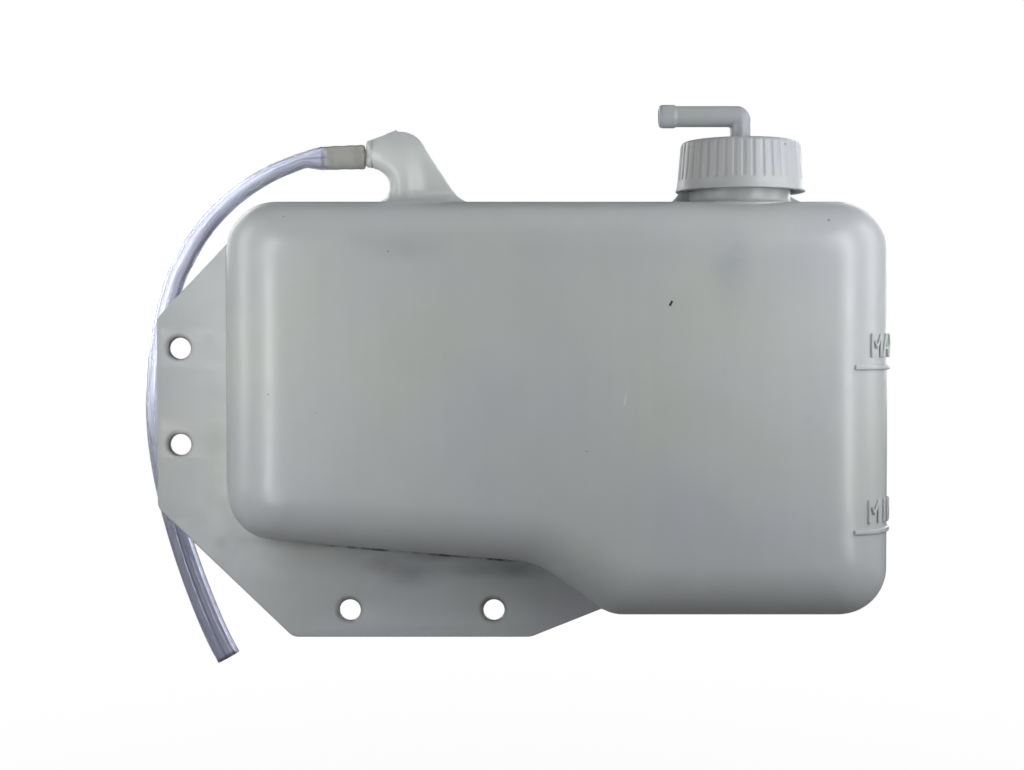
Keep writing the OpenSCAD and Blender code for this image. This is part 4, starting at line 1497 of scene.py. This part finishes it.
def vinyl():
    material, tree, shader = start_material("hose_vinyl", 0.16, (220, 223, 236), 0.42)
    along, across = kept_value(tree, "along"), kept_value(tree, "across")
    colour = blend_colours(patches(tree, 60.0, 4.0), (232, 234, 246), (240, 243, 250))
    # Painted shade: the lower length of the hose is darker.
    colour = blend_colours(soft_step(along, 0.62, 0.86), colour, (208, 210, 226))
    waver = noise(tree, 40.0, 2.0)
    place = sums("MULTIPLY_ADD", waver, 0.24, sums("ADD", across, -0.12))
    for middle, half, tint in HOSE_SHADE_LINES:
        colour = tinted(colour, near_to(place, middle, half, half * 0.25), tint)
    tight = soft_step(along, 0.086, 0.07)
    rings = patches(tree, 420.0, 2.0, stretch=(1, 0.2, 0.2), cut=(0.35, 0.65))
    beige = blend_colours(rings, (158, 159, 153), (168, 169, 164))
    colour = blend_colours(tight, colour, beige)
    look = {
        "Base Color": tinted(colour, soft_step(along, 0.989, 0.998), (150, 150, 160)),
        "Transmission Weight": sums("MULTIPLY_ADD", tight, -CLEAR_SHARE, CLEAR_SHARE),
        "IOR": 1.45,
        "Roughness": patches(tree, 130.0, 3.0, 0.12, 0.24),
    }
    fill(shader, look)
    bump(shader, noise(tree, 320.0, 2.0), 0.00008, 0.3)
    return material


wear(hose, vinyl())


# %% [markdown]
# The light is plain and soft. Tall narrow boxes at the left and right front draw the upright bands
# on the rounded edges, wider ones further out lift the side walls, one hangs above, and two behind
# shine through the thin parts and light the back. The camera doesn't see the boxes.

# %% Light
MIDDLE = (0.14, 0, 0)
# Name, place, width and height, power
BOXES = [
    ("left_line_box", (-0.05, -0.22, 0.01), (0.04, 0.30), 0.41),
    ("left_side_box", (-0.32, -0.10, 0.14), (0.15, 0.40), 0.72),
    ("right_near_box", (0.36, -0.24, 0.10), (0.04, 0.28), 0.17),
    ("right_line_box", (0.40, -0.24, 0.06), (0.04, 0.35), 0.50),
    ("right_side_box", (0.58, -0.10, 0.16), (0.15, 0.40), 0.76),
    ("top_box", (0.14, 0.0, 1.1), (1.2, 0.6), 2.6),
    ("back_left_box", (-0.5, 0.9, 0.35), (0.6, 0.8), 5.5),
    ("back_right_box", (0.8, 0.9, 0.35), (0.6, 0.8), 5.5),
]


def soft_box(name, place, size, power):
    data = bpy.data.lights.new(name, "AREA")
    data.shape = "RECTANGLE"
    data.size, data.size_y = size
    data.energy = power
    lamp = new_object(name, data)
    lamp.location = place
    away = np.array(place) - np.array(MIDDLE)
    flat = math.hypot(away[0], away[1])
    lamp.rotation_euler = (math.atan2(flat, away[2]), 0, math.atan2(away[1], away[0]) + math.pi / 2)
    lamp.visible_camera = False


for box in BOXES:
    soft_box(*box)

# %% [markdown]
# The room is white to the camera and through the clear hose, and nearly dark to all other rays, so
# that it gives a white picture without washing out the tank.

# %% Room
ROOM_GLOW = 0.04
world = bpy.data.worlds.new("studio")
world.use_nodes = True
bpy.context.scene.world = world
room = world.node_tree
rays = add(room, "LightPath").outputs
seen = sums("MAXIMUM", rays["Is Camera Ray"], rays["Is Transmission Ray"])
strength = add(room, "MapRange", seen, 0.0, 1.0, ROOM_GLOW, 1.0).outputs[0]
fill(room.nodes["Background"], {"Color": (1, 1, 1, 1), "Strength": strength})


# %% [markdown]
# The floor is pale and matt and keeps the soft shadow. Seen by the camera it glows towards white,
# fully so a metre out, so that no horizon shows. For the tank it is a dull floor that gives off
# little light, as the shaded underside asks.

# %% Floor
GROUND_Z = -0.3
GROUND_REACH = 4.0
FLOOR_DULL = 0.24


def pale_floor():
    material, tree, shader = start_material("pale_floor", 0.8, (240, 240, 240))
    where = add(tree, "TexCoord").outputs["Object"]
    out = add(tree, "VectorMath", where, MIDDLE, operation="DISTANCE")
    share = soft_step(out.outputs["Value"], 0.3, 1.1, 0.88, 1.0)
    glow = add(tree, "Emission", (1, 1, 1, 1), 1.0).outputs[0]
    seen = add(tree, "MixShader", share, shader.outputs[0], glow).outputs[0]
    dull = add(tree, "BsdfDiffuse", (FLOOR_DULL, FLOOR_DULL, FLOOR_DULL, 1)).outputs[0]
    rays = add(tree, "LightPath").outputs["Is Camera Ray"]
    both = add(tree, "MixShader", rays, dull, seen).outputs[0]
    put(tree.nodes["Material Output"].inputs["Surface"], both)
    return material


def make_floor():
    corners = [(-1, -1), (1, -1), (1, 1), (-1, 1)]
    mesh = bpy.data.meshes.new("floor")
    points = [(x * GROUND_REACH, y * GROUND_REACH, GROUND_Z) for x, y in corners]
    mesh.from_pydata(points, [], [(0, 1, 2, 3)])
    mesh.materials.append(pale_floor())
    new_object("floor", mesh)


make_floor()
bpy.context.scene.view_settings.view_transform = "Standard"
